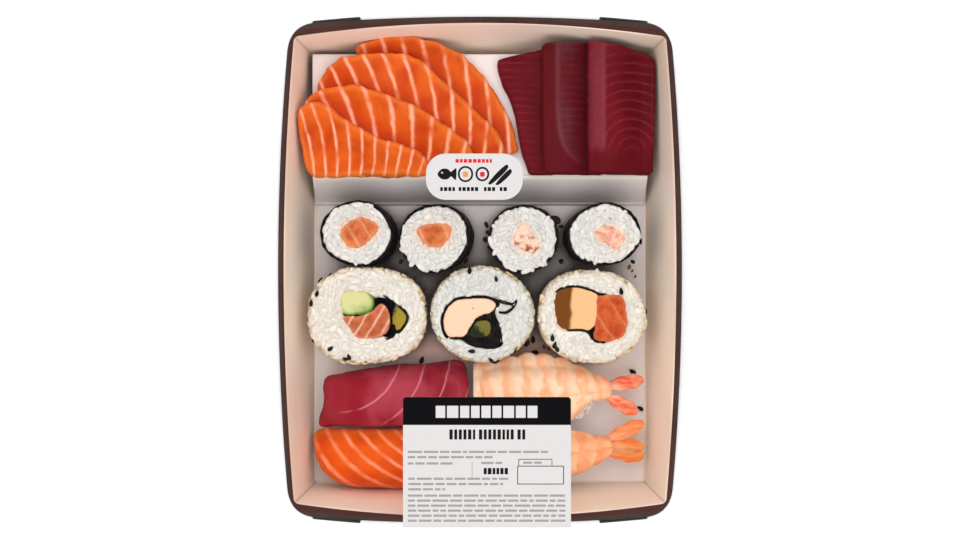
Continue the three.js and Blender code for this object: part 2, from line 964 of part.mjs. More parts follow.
const NIGIRI_STEPS = 22;
const NIGIRI_RICE = { width: 49, squareness: 2.8, height: 19, roundOff: 0.3 };
const OVERHANG = 1.35; // how far a topping follows the rice down, as a share of the rice's reach

const NIGIRI = [
  {
    name: "nigiri_tuna",
    centre: [-33, -50.2],
    riceDepth: 21.5,
    colour: "nigiriTuna",
    corners: [
      [-61.2, -42.9],
      [-53.4, -40.4],
      [-43.2, -38.6],
      [-32, -37.2],
      [-21, -37],
      [-10.6, -35.8],
      [-6.6, -36.6],
      [-4.8, -41.9],
      [-4.2, -49.5],
      [-5, -57.6],
      [-12, -61],
      [-34, -61.5],
      [-54, -61.9],
      [-64, -61.6],
      [-61.8, -53],
    ],
  },
  {
    name: "nigiri_salmon",
    centre: [-35, -73.4],
    riceDepth: 19.5,
    colour: "salmon",
    corners: [
      [-65.2, -64],
      [-54.4, -62.8],
      [-31.1, -62.4],
      [-18, -62.4],
      [-8, -63.2],
      [-4.6, -73.8],
      [-8.4, -84.4],
      [-40.8, -86.6],
      [-54.4, -85.2],
      [-62, -79.2],
      [-65.4, -71.9],
    ],
  },
];

// The top of the rice under a nigiri's topping: 0 at the middle, 1 at the rice's edge, and past
// it the topping hangs down.
function moundHeight({ centre, riceDepth }) {
  return (x, y) => {
    const across = Math.abs((x - centre[0]) / (NIGIRI_RICE.width / 2)) ** 3;
    const along = Math.abs((y - centre[1]) / (riceDepth / 2)) ** 3;
    const reach = Math.min((across + along) ** (1 / 3), OVERHANG);
    return FOOD_BASE + NIGIRI_RICE.height * (1 - NIGIRI_RICE.roundOff * reach ** 3);
  };
}

function nigiriRice(spec, seed) {
  const draw = drawsFrom(seed);
  const mound = moundHeight(spec);
  const [x, y] = spec.centre;
  const { width, squareness } = NIGIRI_RICE;
  const outline = oval({ x, y, width, depth: spec.riceDepth, squareness }, NIGIRI_STEPS);
  const rough = (share, reach) =>
    shrunk(outline, share).map((p) => p.add(new THREE.Vector2(draw() * reach, draw() * reach)));
  const under = (px, py) => mound(px, py) - 1.2 - RICE_BUMP * 0.5 * (1 + draw());
  return skin([
    ringAt(shrunk(outline, 0.93), FOOD_BASE),
    ringAt(rough(0.97, 0.3), FOOD_BASE + 4),
    ringAt(rough(0.97, 0.3), FOOD_BASE + 8.5),
    ringAt(shrunk(outline, 0.93), under),
    ringAt(shrunk(outline, 0.65), under),
    ringAt(shrunk(outline, 0.3), under),
  ]);
}

// Each shrimp's body runs from front to its tail at [x, y]. Its front half narrows over the given
// shares of that length, by the given share of its width. Its back half bulges by another share.
const SHRIMPS = [
  {
    name: "nigiri_shrimp_1",
    centre: [22, -49.6],
    riceDepth: 22,
    tail: [50, -47.6],
    front: -2.6,
    half: 13.4,
    bulge: 0.23,
    narrowing: { from: 0.66, to: 0.9, by: 0.72 },
    fins: [
      { from: [47.5, -46.4], to: [64.9, -43.2] },
      { from: [47.5, -48.6], to: [62.6, -56.6] },
    ],
  },
  {
    name: "nigiri_shrimp_2",
    centre: [22, -73.6],
    riceDepth: 18,
    tail: [50.6, -69.8],
    front: -2.2,
    half: 9.6,
    bulge: 0,
    narrowing: { from: 0.7, to: 1.1, by: 0.6 },
    fins: [
      { from: [48, -68.2], to: [65.2, -60.2] },
      { from: [48, -70], to: [65.2, -69.8] },
      { from: [48, -71.6], to: [65, -74] },
    ],
  },
];

const SHRIMP = { rings: 12, halfColumns: 4, pitch: 7.4, ridge: 0.45, crease: 0.8, edge: 1.2 };
const FIN = { halfWidth: 2.4, halfHeight: 1.5 };

// How wide the back half of the opened body is along its length, from 0 at the head end to 1 at
// the tail.
function shrimpWidth(share, bulge) {
  const head = Math.sqrt(smoothStep(-0.1, 0.1, share));
  const swell = 1 + bulge * Math.exp(-(((share - 0.43) / 0.21) ** 2));
  return head * swell * (1 - 0.7 * smoothStep(0.62, 1.1, share));
}

function shrimpFrontWidth(share, { from, to, by }) {
  const head = Math.sqrt(smoothStep(-0.1, 0.1, share));
  return head * (1 - by * smoothStep(from, to, share));
}

// One ring round the opened body, across it over the top and back underneath.
function shrimpRing(spec, share) {
  const mound = moundHeight(spec);
  const x = spec.front + (spec.tail[0] - spec.front) * share;
  const middle = spec.centre[1] + (spec.tail[1] - spec.centre[1]) * share ** 2;
  const ridge = SHRIMP.ridge * Math.cos((x / SHRIMP.pitch) * 2 * Math.PI);
  const columns = SHRIMP.halfColumns;
  const over = [];
  const under = [];
  for (let j = -columns; j <= columns; j++) {
    const width =
      j < 0 ? shrimpFrontWidth(share, spec.narrowing) : shrimpWidth(share, spec.bulge);
    const y = middle + (spec.half * width * j) / columns;
    const round = 1 - (j / columns) ** 4;
    const crease = j === 0 ? SHRIMP.crease : 0;
    const flesh = (TOPPING - 1 - SHRIMP.edge + ridge) * round - crease;
    const rest = mound(x, y);
    over.push(new THREE.Vector3(x, y, rest + SHRIMP.edge + flesh));
    if (Math.abs(j) < columns) under.push(new THREE.Vector3(x, y, rest + REST / 2));
  }
  return [...over, ...under.reverse()];
}

function shrimpFins(spec) {
  const height = moundHeight(spec)(...spec.tail) + FIN.halfHeight;
  return spec.fins.map(({ from, to }) => {
    const start = new THREE.Vector2(...from);
    const along = new THREE.Vector2(...to).sub(start);
    const lobe = new THREE.SphereGeometry(1, 7, 4);
    lobe.scale(along.length() / 2, FIN.halfWidth, FIN.halfHeight);
    lobe.rotateZ(along.angle());
    const middle = start.addScaledVector(along, 0.5);
    return lobe.translate(middle.x, middle.y, height);
  });
}

// The opened, flattened body of a shrimp over its rice: segment ridges across it, a crease along
// its middle and the tail fins.
function shrimpGeometry(spec) {
  const rings = [];
  for (let i = 0; i <= SHRIMP.rings; i++) rings.push(shrimpRing(spec, i / SHRIMP.rings));
  return fused(skin(rings), ...shrimpFins(spec));
}

// ---------------------------------------------------------------- the whole

const FINISH = {
  board: { roughness: 0.7 },
  card: { roughness: 0.6 },
  clear: { roughness: 0.08, transparent: true, opacity: 0.25 },
  label: { roughness: 0.4 },
  nori: { roughness: 0.8 },
  rice: { roughness: 0.5 },
};

function materialFor(slot) {
  const finish = FINISH[slot] ?? { roughness: 0.3 };
  return new THREE.MeshStandardMaterial({ color: COLOURS[slot], metalness: 0, ...finish });
}

const part = new THREE.Group();

function add(name, geometry, slot) {
  const mesh = new THREE.Mesh(geometry, materialFor(slot));
  mesh.name = name;
  part.add(mesh);
}

function addSashimi() {
  const salmon = SALMON_SLICES.map(({ thickness, corners }) => ({
    thickness,
    outline: through(corners, SLICE_STEPS),
  }));
  const tuna = TUNA_SLICES.map(({ thickness, corners }) => ({
    thickness,
    outline: corners.map((corner) => new THREE.Vector2(...corner)),
  }));
  salmon.forEach((slice, i) => {
    const rest = restOn(salmon.slice(0, i));
    add(`salmon_slice_${i + 1}`, sliceGeometry(slice, rest), "salmon");
  });
  tuna.forEach((slice, i) => {
    const rest = restOn(tuna.slice(0, i));
    add(`tuna_slice_${i + 1}`, sliceGeometry(slice, rest), "tuna");
  });
}

function addUramaki(spec) {
  const { cavity, fillings, bunched } = spec;
  const seaweed = bunched ? bunchedNori(cavity, Object.values(fillings)) : cavityNori(cavity);
  add(`${spec.name}_rice`, uramakiRice(spec), "rice");
  add(`${spec.name}_nori`, seaweed, "nori");
  for (const [filling, corners] of Object.entries(fillings)) {
    add(`${spec.name}_${filling}`, fillingGeometry(through(corners, FILLING_STEPS)), filling);
  }
}

function addNigiri() {
  NIGIRI.forEach((spec, i) => {
    const topping = { outline: through(spec.corners, SLICE_STEPS), thickness: TOPPING };
    add(`${spec.name}_rice`, nigiriRice(spec, 60 + i), "rice");
    add(`${spec.name}_slice`, sliceGeometry(topping, moundHeight(spec)), spec.colour);
  });
  SHRIMPS.forEach((spec, i) => {
    add(`${spec.name}_rice`, nigiriRice(spec, 70 + i), "rice");
    add(`${spec.name}_body`, shrimpGeometry(spec), "shrimp");
  });
}

add("tray", trayGeometry(), "board");
add("insert", insertGeometry(), "card");
add("lid", lidGeometry(), "clear");
add("lid_badge", badgeGeometry(), "label");
add("front_label", frontLabelGeometry(), "label");
addSashimi();
HOSOMAKI.forEach((spec) => addHosomaki(spec));
URAMAKI.forEach((spec) => addUramaki(spec));
addNigiri();

// The origin is under the middle of the whole box, which the label's front makes a little deeper.
part.position.y = (-LABEL_FRONT - LIP.midY - LID_OVER_LIP) / 2;

export default part;
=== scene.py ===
"""Looks of a takeaway sushi tray: board tray, card insert, clear lid, labels, sashimi, rolls and
nigiri. Shapes are worked out in millimetres in the layout of the solids and put into metres at
the end. +Y runs towards the raised platform at the back and +Z is up."""

import logging
import math
from dataclasses import astuple, dataclass, field
from enum import IntEnum
from typing import Callable, Iterator, Sequence

import bpy
import numpy as np
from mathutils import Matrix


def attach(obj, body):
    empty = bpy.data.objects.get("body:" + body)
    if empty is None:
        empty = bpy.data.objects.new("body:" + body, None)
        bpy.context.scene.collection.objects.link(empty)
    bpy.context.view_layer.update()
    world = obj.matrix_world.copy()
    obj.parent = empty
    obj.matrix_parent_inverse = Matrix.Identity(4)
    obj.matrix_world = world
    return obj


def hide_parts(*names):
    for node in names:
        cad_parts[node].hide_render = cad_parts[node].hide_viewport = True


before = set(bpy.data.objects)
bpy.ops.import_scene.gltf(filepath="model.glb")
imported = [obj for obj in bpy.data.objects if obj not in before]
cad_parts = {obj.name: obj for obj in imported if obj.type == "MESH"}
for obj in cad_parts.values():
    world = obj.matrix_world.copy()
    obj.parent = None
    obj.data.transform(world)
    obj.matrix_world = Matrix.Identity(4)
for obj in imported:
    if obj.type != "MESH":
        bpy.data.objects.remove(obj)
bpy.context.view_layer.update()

LOG = logging.getLogger("sushi_tray")

Array = np.ndarray
Spot = tuple[float, float]
Spots = Sequence[Spot]
Height = Callable[[Array], Array]
Light = tuple[float, float, float]
Colour = Light | int
Socket = bpy.types.NodeSocket
Value = Socket | Colour | float

# ---- sizes shared with the solids, in mm

MM = 0.001
SHIFT_Y = 0.275  # from the layout's middle to the frame's origin

BOARD = 0.8
SHEET = 0.35
CLEAR = 0.5
REST = 0.2
LABEL_LIFT = 0.1
TRAY_HEIGHT = 42.6
FLANGE_DROP = 10.0
LID_SKIRT = 3.0
LID_OVER_LIP = 0.8
INSERT_UNDER = BOARD + REST
DECK_TOP = INSERT_UNDER + BOARD
DECK_FRONT = -85.0
INSERT_WIDTH = 131.6
PLATFORM_TOP = 18.6
PLATFORM_BACK = 85.0
PLATFORM_FRONT = 36.2
RISER_FOOT = 26.5
FOOD_BASE = DECK_TOP + REST
ROLL_TOP = 29.0
NORI = 0.7
BASE_TAPER = 0.95
DRAPE_GAP = 1.3
TOPPING = 5.5
LID_UNDER = TRAY_HEIGHT + REST
LID_TOP = LID_UNDER + CLEAR
RIPPLES = 12  # the sine waves of an uneven surface

MATERIALS: dict[str, bpy.types.Material] = {}  # the finishes made so far, by name


# ---- numbers


def draws(seed: int) -> Iterator[float]:
    """A repeatable run of numbers between -1 and 1.

    Args:
        seed: where the run starts.

    Returns:
        The numbers, without end.
    """
    state = seed * 7919 + 17
    while True:
        state = state * 16807 % 2147483647
        yield state / 2147483647 * 2 - 1


def smooth_step(low: float, high: float, value: Array) -> Array:
    """A share from 0 at low to 1 at high along 3t² - 2t³; low may be above high."""
    share = np.clip((value - low) / (high - low), 0, 1)
    return share * share * (3 - 2 * share)


def bell(value: Array, middle: float, width: float, power: int = 2) -> Array:
    """exp(-((value - middle) / width) to a power): 1 at the middle, fading on both sides."""
    return np.exp(-((value - middle) / width) ** power)


def unit(vectors: Array) -> Array:
    """Each row at a length of one."""
    return vectors / np.maximum(np.linalg.norm(vectors, axis=1, keepdims=True), 1e-9)


def directions(count: int) -> Array:
    """Angles in radians, spread evenly round a circle from 0."""
    return np.arange(count) / count * 2 * math.pi


def ripple(points: Array, length: float, seed: int) -> Array:
    """Smooth unevenness of about -1 to 1: sine waves in random directions, summed.

    Args:
        points: places in mm, the last axis holding the coordinates.
        length: the middle wavelength in mm.
        seed: for the draws.

    Returns:
        A number for each place.
    """
    rng = np.random.default_rng(seed)
    waves = unit(rng.normal(size=(RIPPLES, points.shape[-1])))
    waves = waves * (2 * math.pi / length * rng.uniform(0.6, 1.5, RIPPLES))[:, None]
    return np.sin(points @ waves.T + rng.uniform(0, 2 * math.pi, RIPPLES)).sum(-1) / 3.6


# ---- outlines, anticlockwise


@dataclass(frozen=True)
class Oval:
    """An oval or rounded rectangle, made uneven by three slow waves."""

    x: float
    y: float
    width: float
    depth: float
    squareness: float = 2.0
    uneven: float = 0.0
    seed: int = 1

    def outline(self, steps: int) -> Array:
        """The radius is (|cos|ᵏ + |sin|ᵏ)^(-1/k) with k the squareness, times 1 plus the waves.

        Args:
            steps: how many points.

        Returns:
            The points, one row each.
        """
        angle, k = directions(steps), self.squareness
        radius = (np.abs(np.cos(angle)) ** k + np.abs(np.sin(angle)) ** k) ** (-1 / k)
        for lobes, draw in zip((2, 3, 5), draws(self.seed)):
            radius *= 1 + 2 * self.uneven / lobes * np.sin(lobes * angle + draw * math.pi)
        return np.column_stack([self.x + self.width / 2 * radius * np.cos(angle),
                                self.y + self.depth / 2 * radius * np.sin(angle)])


@dataclass(frozen=True)
class Loop:
    """A smooth closed outline through a few corners."""

    corners: Spots
    samples = 40

    def outline(self, steps: int) -> Array:
        """A closed Catmull-Rom curve with centripetal knots, spaced evenly along its length.

        Args:
            steps: how many points.

        Returns:
            The points, one row each.
        """
        knots = np.array(self.corners, float)
        before, start, end, after = (np.roll(knots, shift, axis=0) for shift in (1, 0, -1, -2))
        gaps = [np.linalg.norm(b - a, axis=1)[:, None] ** 0.5
                for a, b in ((before, start), (start, end), (end, after))]
        leave = ((start - before) / gaps[0] - (end - before) / (gaps[0] + gaps[1])
                 + (end - start) / gaps[1]) * gaps[1]
        arrive = ((end - start) / gaps[1] - (after - start) / (gaps[1] + gaps[2])
                  + (after - end) / gaps[2]) * gaps[1]
        t = (np.arange(self.samples) / self.samples)[:, None, None]
        dense = (start + leave * t + (3 * (end - start) - 2 * leave - arrive) * t**2
                 + (2 * (start - end) + leave + arrive) * t**3)
        points = spaced(dense.transpose(1, 0, 2).reshape(-1, 2), steps)
        return points if signed_area(points) > 0 else points[::-1]


@dataclass(frozen=True)
class Cornered:
    """A closed outline of straight stretches between corners."""

    corners: Spots

    def outline(self, steps: int) -> Array:
        """Points spaced evenly along the stretches."""
        return spaced(np.array(self.corners, float), steps)


def signed_area(outline: Array) -> float:
    """Half the sum of the cross products of the outline's neighbouring points."""
    after = np.roll(outline, -1, axis=0)
    return float(np.sum(outline[:, 0] * after[:, 1] - outline[:, 1] * after[:, 0]) / 2)


def distances(outline: Array) -> Array:
    """How far along the outline each point lies, and last the whole length."""
    closed = np.vstack([outline, outline[:1]])
    return np.concatenate([[0], np.cumsum(np.linalg.norm(np.diff(closed, axis=0), axis=1))])


def at_distances(outline: Array, run: Array, wanted: Array) -> Array:
    """The outline's points at wanted distances, by how far along it each point lies."""
    closed = np.vstack([outline, outline[:1]])
    return np.stack([np.interp(wanted, run, closed[:, i]) for i in (0, 1)], axis=1)


def spaced(outline: Array, steps: int) -> Array:
    """Points spaced evenly round an outline."""
    run = distances(outline)
    return at_distances(outline, run, np.arange(steps) / steps * run[-1])


def grown(outline: Array, distance: float | Array) -> Array:
    """The outline, anticlockwise, moved outwards by mm, or inwards when negative."""
    along = unit(np.roll(outline, -1, axis=0) - np.roll(outline, 1, axis=0))
    return outline + np.stack([along[:, 1], -along[:, 0]], axis=1) * np.reshape(distance, (-1, 1))


def inset(outline: Array, distance: float) -> Array:
    """The outline moved inwards and smoothed, so that tight corners don't cross.

    Args:
        outline: the points, anticlockwise.
        distance: how far in mm.

    Returns:
        The moved points.
    """
    moved = grown(outline, -distance)
    for _ in range(int(4 * distance)):
        moved = (np.roll(moved, 1, axis=0) + 2 * moved + np.roll(moved, -1, axis=0)) / 4
    return moved


def shrunk(outline: Array, share: float) -> Array:
    """The outline drawn in towards the mean of its points."""
    middle = outline.mean(axis=0)
    return middle + (outline - middle) * share


def bearing(outline: Array, middle: Array) -> Array:
    """The direction in radians of each point from a middle."""
    return np.arctan2(*(outline - middle).T[::-1])


def within(direction: Array, middle: float, half: float, core: float) -> Array:
    """A share that is 1 round a middle and 0 past a half width, in degrees, with a full core."""
    away = np.abs((direction - middle + 180) % 360 - 180)
    return 1 - smooth_step(half * core, half, away)


def by_direction(outline: Array, centre: Array, angles: Array) -> Array:
    """The outline's furthest points from a centre, in given directions.

    Args:
        outline: the points.
        centre: the place that the directions start from.
        angles: the directions in radians.

    Returns:
        A point for each direction.
    """
    start = outline - centre
    edge = np.roll(start, -1, axis=0) - start
    ray = np.stack([np.cos(angles), np.sin(angles)], axis=1)
    cross = ray[:, None, 0] * edge[:, 1] - ray[:, None, 1] * edge[:, 0]
    cross = np.where(np.abs(cross) < 1e-12, 1e-12, cross)
    along = (start[:, 0] * edge[:, 1] - start[:, 1] * edge[:, 0]) / cross
    share = (start[:, 0] * ray[:, None, 1] - start[:, 1] * ray[:, None, 0]) / cross
    hit = (along > 0) & (share >= -1e-9) & (share <= 1 + 1e-9)
    return centre + ray * np.where(hit, along, 0).max(axis=1)[:, None]


def distance_outside(outline: Array, points: Array) -> Array:
    """How far points lie outside an outline, negative inside: the least distance to its edges,
    with the sign from how many edges a level ray crosses.

    Args:
        outline: the outline's points.
        points: places in x and y, one row each.

    Returns:
        A distance in mm for each place.
    """
    edge = np.roll(outline, -1, axis=0) - outline
    offset = points[:, None] - outline
    share = np.clip((offset * edge).sum(-1) / (edge**2).sum(-1), 0, 1)
    least = np.linalg.norm(offset - share[..., None] * edge, axis=-1).min(axis=1)
    x, y = points[:, None, 0], points[:, None, 1]
    spans = (outline[:, 1] > y) != ((outline + edge)[:, 1] > y)
    rise = np.where(edge[:, 1] == 0, 1e-12, edge[:, 1])
    crossed = spans & (x < outline[:, 0] + edge[:, 0] * (y - outline[:, 1]) / rise)
    return np.where(crossed.sum(axis=1) % 2 == 1, -least, least)


def at_height(outline: Array, height: float | Array) -> Array:
    """The outline as places in space at a height, or at a height for each point."""
    return np.column_stack([outline, np.broadcast_to(height, len(outline))])


# ---- meshes


@dataclass
class Surface:
    """Vertices in mm, faces by corner count, a finish number per face and numbers per vertex."""

    vertices: Array
    faces: list[Array]
    finishes: list[Array]
    marks: dict[str, Array] = field(default_factory=dict)

    def marked(self, **values: Array | float) -> "Surface":
        """Keeps numbers per vertex, each under the name of its mark, and returns the surface."""
        for name, value in values.items():
            self.marks[name] = np.broadcast_to(np.asarray(value, float), len(self.vertices)).copy()
        return self

    def outward(self) -> "Surface":
        """Turns every face round when the enclosed volume comes out negative.

        Returns:
            The surface itself.
        """
        volume = 0.0
        for face in self.faces:
            for i in range(1, face.shape[1] - 1):
                a, b, c = (self.vertices[face[:, k]] for k in (0, i, i + 1))
                volume += float(np.einsum("ij,ij->i", a, np.cross(b, c)).sum())
        if volume < 0:
            self.faces = [face[:, ::-1] for face in self.faces]
        return self


def joined(surfaces: Sequence[Surface]) -> Surface:
    """One surface out of several.

    Args:
        surfaces: the surfaces to join.

    Returns:
        The whole. A mark that one of them lacks is 0 there.
    """
    names = sorted({name for surface in surfaces for name in surface.marks})
    starts = np.concatenate([[0], np.cumsum([len(s.vertices) for s in surfaces])])
    return Surface(
        np.concatenate([s.vertices for s in surfaces]),
        [face + start for s, start in zip(surfaces, starts) for face in s.faces],
        [finish for s in surfaces for finish in s.finishes],
        {name: np.concatenate([s.marks.get(name, np.zeros(len(s.vertices))) for s in surfaces])
         for name in names})


def loft(rings: Sequence[Array], looped: bool = False, finish: Array | int = 0) -> Surface:
    """A closed skin through rings of equally many points. A looped one closes on itself like a
    tyre, and another is shut by a fan at each end.

    Args:
        rings: places in mm, by ring, point and coordinate.
        looped: whether the last ring joins the first.
        finish: the finish number, or one for each band between rings.

    Returns:
        The skin, facing out.
    """
    rings = np.array(rings)
    bands, count = rings.shape[0] - (0 if looped else 1), rings.shape[1]
    here = np.arange(bands)[:, None] * count
    after = (np.arange(bands)[:, None] + 1) % rings.shape[0] * count
    i = np.arange(count)[None]
    j = (i + 1) % count
    quads = np.stack([here + i, here + j, after + j, after + i], axis=-1).reshape(-1, 4)
    vertices = rings.reshape(-1, 3)
    of_band = np.broadcast_to(finish, bands)
    faces, finishes = [quads], [np.repeat(of_band, count)]
    if not looped:
        hubs = len(vertices) + np.arange(2)
        vertices = np.vstack([vertices, rings[0].mean(axis=0), rings[-1].mean(axis=0)])
        last = (rings.shape[0] - 1) * count
        first_fan = np.stack([np.full(count, hubs[0]), j[0], i[0]], axis=1)
        last_fan = np.stack([np.full(count, hubs[1]), last + i[0], last + j[0]], axis=1)
        faces.append(np.vstack([first_fan, last_fan]))
        finishes.append(np.repeat([of_band[0], of_band[-1]], count))
    return Surface(vertices, faces, finishes).outward()


def slab(top: Array, bottom: Array, finish: int = 0) -> Surface:
    """A closed sheet between two grids of the same shape, with a wall round the edge.

    Args:
        top: places in mm, by row, column and coordinate.
        bottom: the same for the underside.
        finish: the finish number.

    Returns:
        The sheet, facing out.
    """
    under = top.shape[0] * top.shape[1]
    cell = np.arange(under).reshape(top.shape[:2])
    quads = np.stack([cell[:-1, :-1], cell[1:, :-1], cell[1:, 1:], cell[:-1, 1:]], axis=-1)
    quads = quads.reshape(-1, 4)
    rim = np.concatenate([cell[0, :-1], cell[:-1, -1], cell[-1, :0:-1], cell[:0:-1, 0]])
    rim_after = np.roll(rim, -1)
    wall = np.stack([rim, rim_after, rim_after + under, rim + under], axis=1)
    faces = np.vstack([quads, quads[:, ::-1] + under, wall])
    vertices = np.vstack([top.reshape(-1, 3), bottom.reshape(-1, 3)])
    return Surface(vertices, [faces], [np.full(len(faces), finish)]).outward()


def pebble(segments: int, rings: int, point: float = 0.0) -> Surface:
    """A ball of unit size along X, drawn to a point at one end when asked.

    Args:
        segments: points round it.
        rings: rings between its poles.
        point: how much narrower the +X half is, from 0 for a plain ball.

    Returns:
        The ball, half a unit in radius.
    """
    polar = (np.arange(rings) + 1) / (rings + 1) * math.pi
    angle = directions(segments)
    x = np.broadcast_to(np.cos(polar)[:, None], (rings, segments))
    radius = np.sin(polar)[:, None] * (1 - point * smooth_step(-0.4, 1, x))
    ball = loft(np.stack([x, radius * np.cos(angle), radius * np.sin(angle)], axis=-1) / 2)
    ball.vertices[-2:] = [[0.5, 0, 0], [-0.5, 0, 0]]
    return ball


def scattered(shape: Surface, centres: Array, lie: Array, facing: Array, sizes: Array) -> Surface:
    """Copies of a small shape, each turned and sized: centre + x·length·a + y·width·b + z·height·c.

    Args:
        shape: the shape, of unit size.
        centres: where each copy is, in mm.
        lie: the direction of each copy's length.
        facing: the direction of each copy's height, made square to its length.
        sizes: the length, width and height of each copy in mm.

    Returns:
        All copies as one surface, with a mark "tint" that differs from copy to copy.
    """
    lie = unit(lie)
    side = unit(np.cross(facing, lie))
    axes = np.stack([lie, side, np.cross(lie, side)], axis=1) * sizes[:, :, None]
    vertices = centres[:, None] + np.einsum("vk,nkc->nvc", shape.vertices, axes)
    count, each = len(centres), len(shape.vertices)
    step = (np.arange(count) * each)[:, None, None]
    faces = [(face + step).reshape(-1, face.shape[1]) for face in shape.faces]
    finishes = [np.tile(finish, count) for finish in shape.finishes]
    tint = np.repeat((np.arange(count) * 0.618034) % 1, each)
    return Surface(vertices.reshape(-1, 3), faces, finishes).marked(tint=tint)


def placed(name: str, surface: Surface, finishes: str, stands_for: str = "",
           crease: float | None = None) -> bpy.types.Object:
    """Makes a finished piece of a surface and ties it to the frame.

    Args:
        name: the piece's name.
        surface: its shape in mm.
        finishes: the names of its finishes, in the order of the finish numbers, with spaces.
        stands_for: the CAD node that it replaces, if any.
        crease: faces that meet at more than this many degrees keep a sharp edge.

    Returns:
        The piece.
    """
    mesh = bpy.data.meshes.new(name)
    corners = np.concatenate([face.ravel() for face in surface.faces])
    totals = np.concatenate([np.full(len(face), face.shape[1]) for face in surface.faces])
    mesh.vertices.add(len(surface.vertices))
    mesh.vertices.foreach_set("co", ((surface.vertices + [0, SHIFT_Y, 0]) * MM).ravel())
    mesh.loops.add(len(corners))
    mesh.loops.foreach_set("vertex_index", corners.astype(np.int32))
    mesh.polygons.add(len(totals))
    mesh.polygons.foreach_set("loop_start", (np.cumsum(totals) - totals).astype(np.int32))
    mesh.polygons.foreach_set("material_index", np.concatenate(surface.finishes).astype(np.int32))
    mesh.polygons.foreach_set("use_smooth", np.ones(len(totals), bool))
    mesh.update(calc_edges=True)
    for mark, values in surface.marks.items():
        layer = mesh.attributes.new(mark, "FLOAT", "POINT")
        layer.data.foreach_set("value", values.astype(np.float32))
    if crease is not None:
        mesh.set_sharp_from_angle(angle=math.radians(crease))
    for finish in finishes.split():
        mesh.materials.append(MATERIALS[finish])
    piece = bpy.data.objects.new(name, mesh)
    bpy.context.scene.collection.objects.link(piece)
    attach(piece, "root")
    if stands_for:
        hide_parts(stands_for)
    LOG.info("%s: %d faces", name, len(totals))
    return piece


# ---- finishes


def light(colour: Colour) -> Light:
    """A colour as light. The channels c of a screen colour become ((c + 0.055) / 1.055) to the
    power 2.4, or c / 12.92 where they are near black.

    Args:
        colour: a screen colour as 0xRRGGBB, or light, which stays as it is.

    Returns:
        Its red, green and blue.
    """
    if isinstance(colour, tuple):
        return colour
    shares = [(colour >> shift & 255) / 255 for shift in (16, 8, 0)]
    return tuple(c / 12.92 if c <= 0.04045 else ((c + 0.055) / 1.055) ** 2.4 for c in shares)


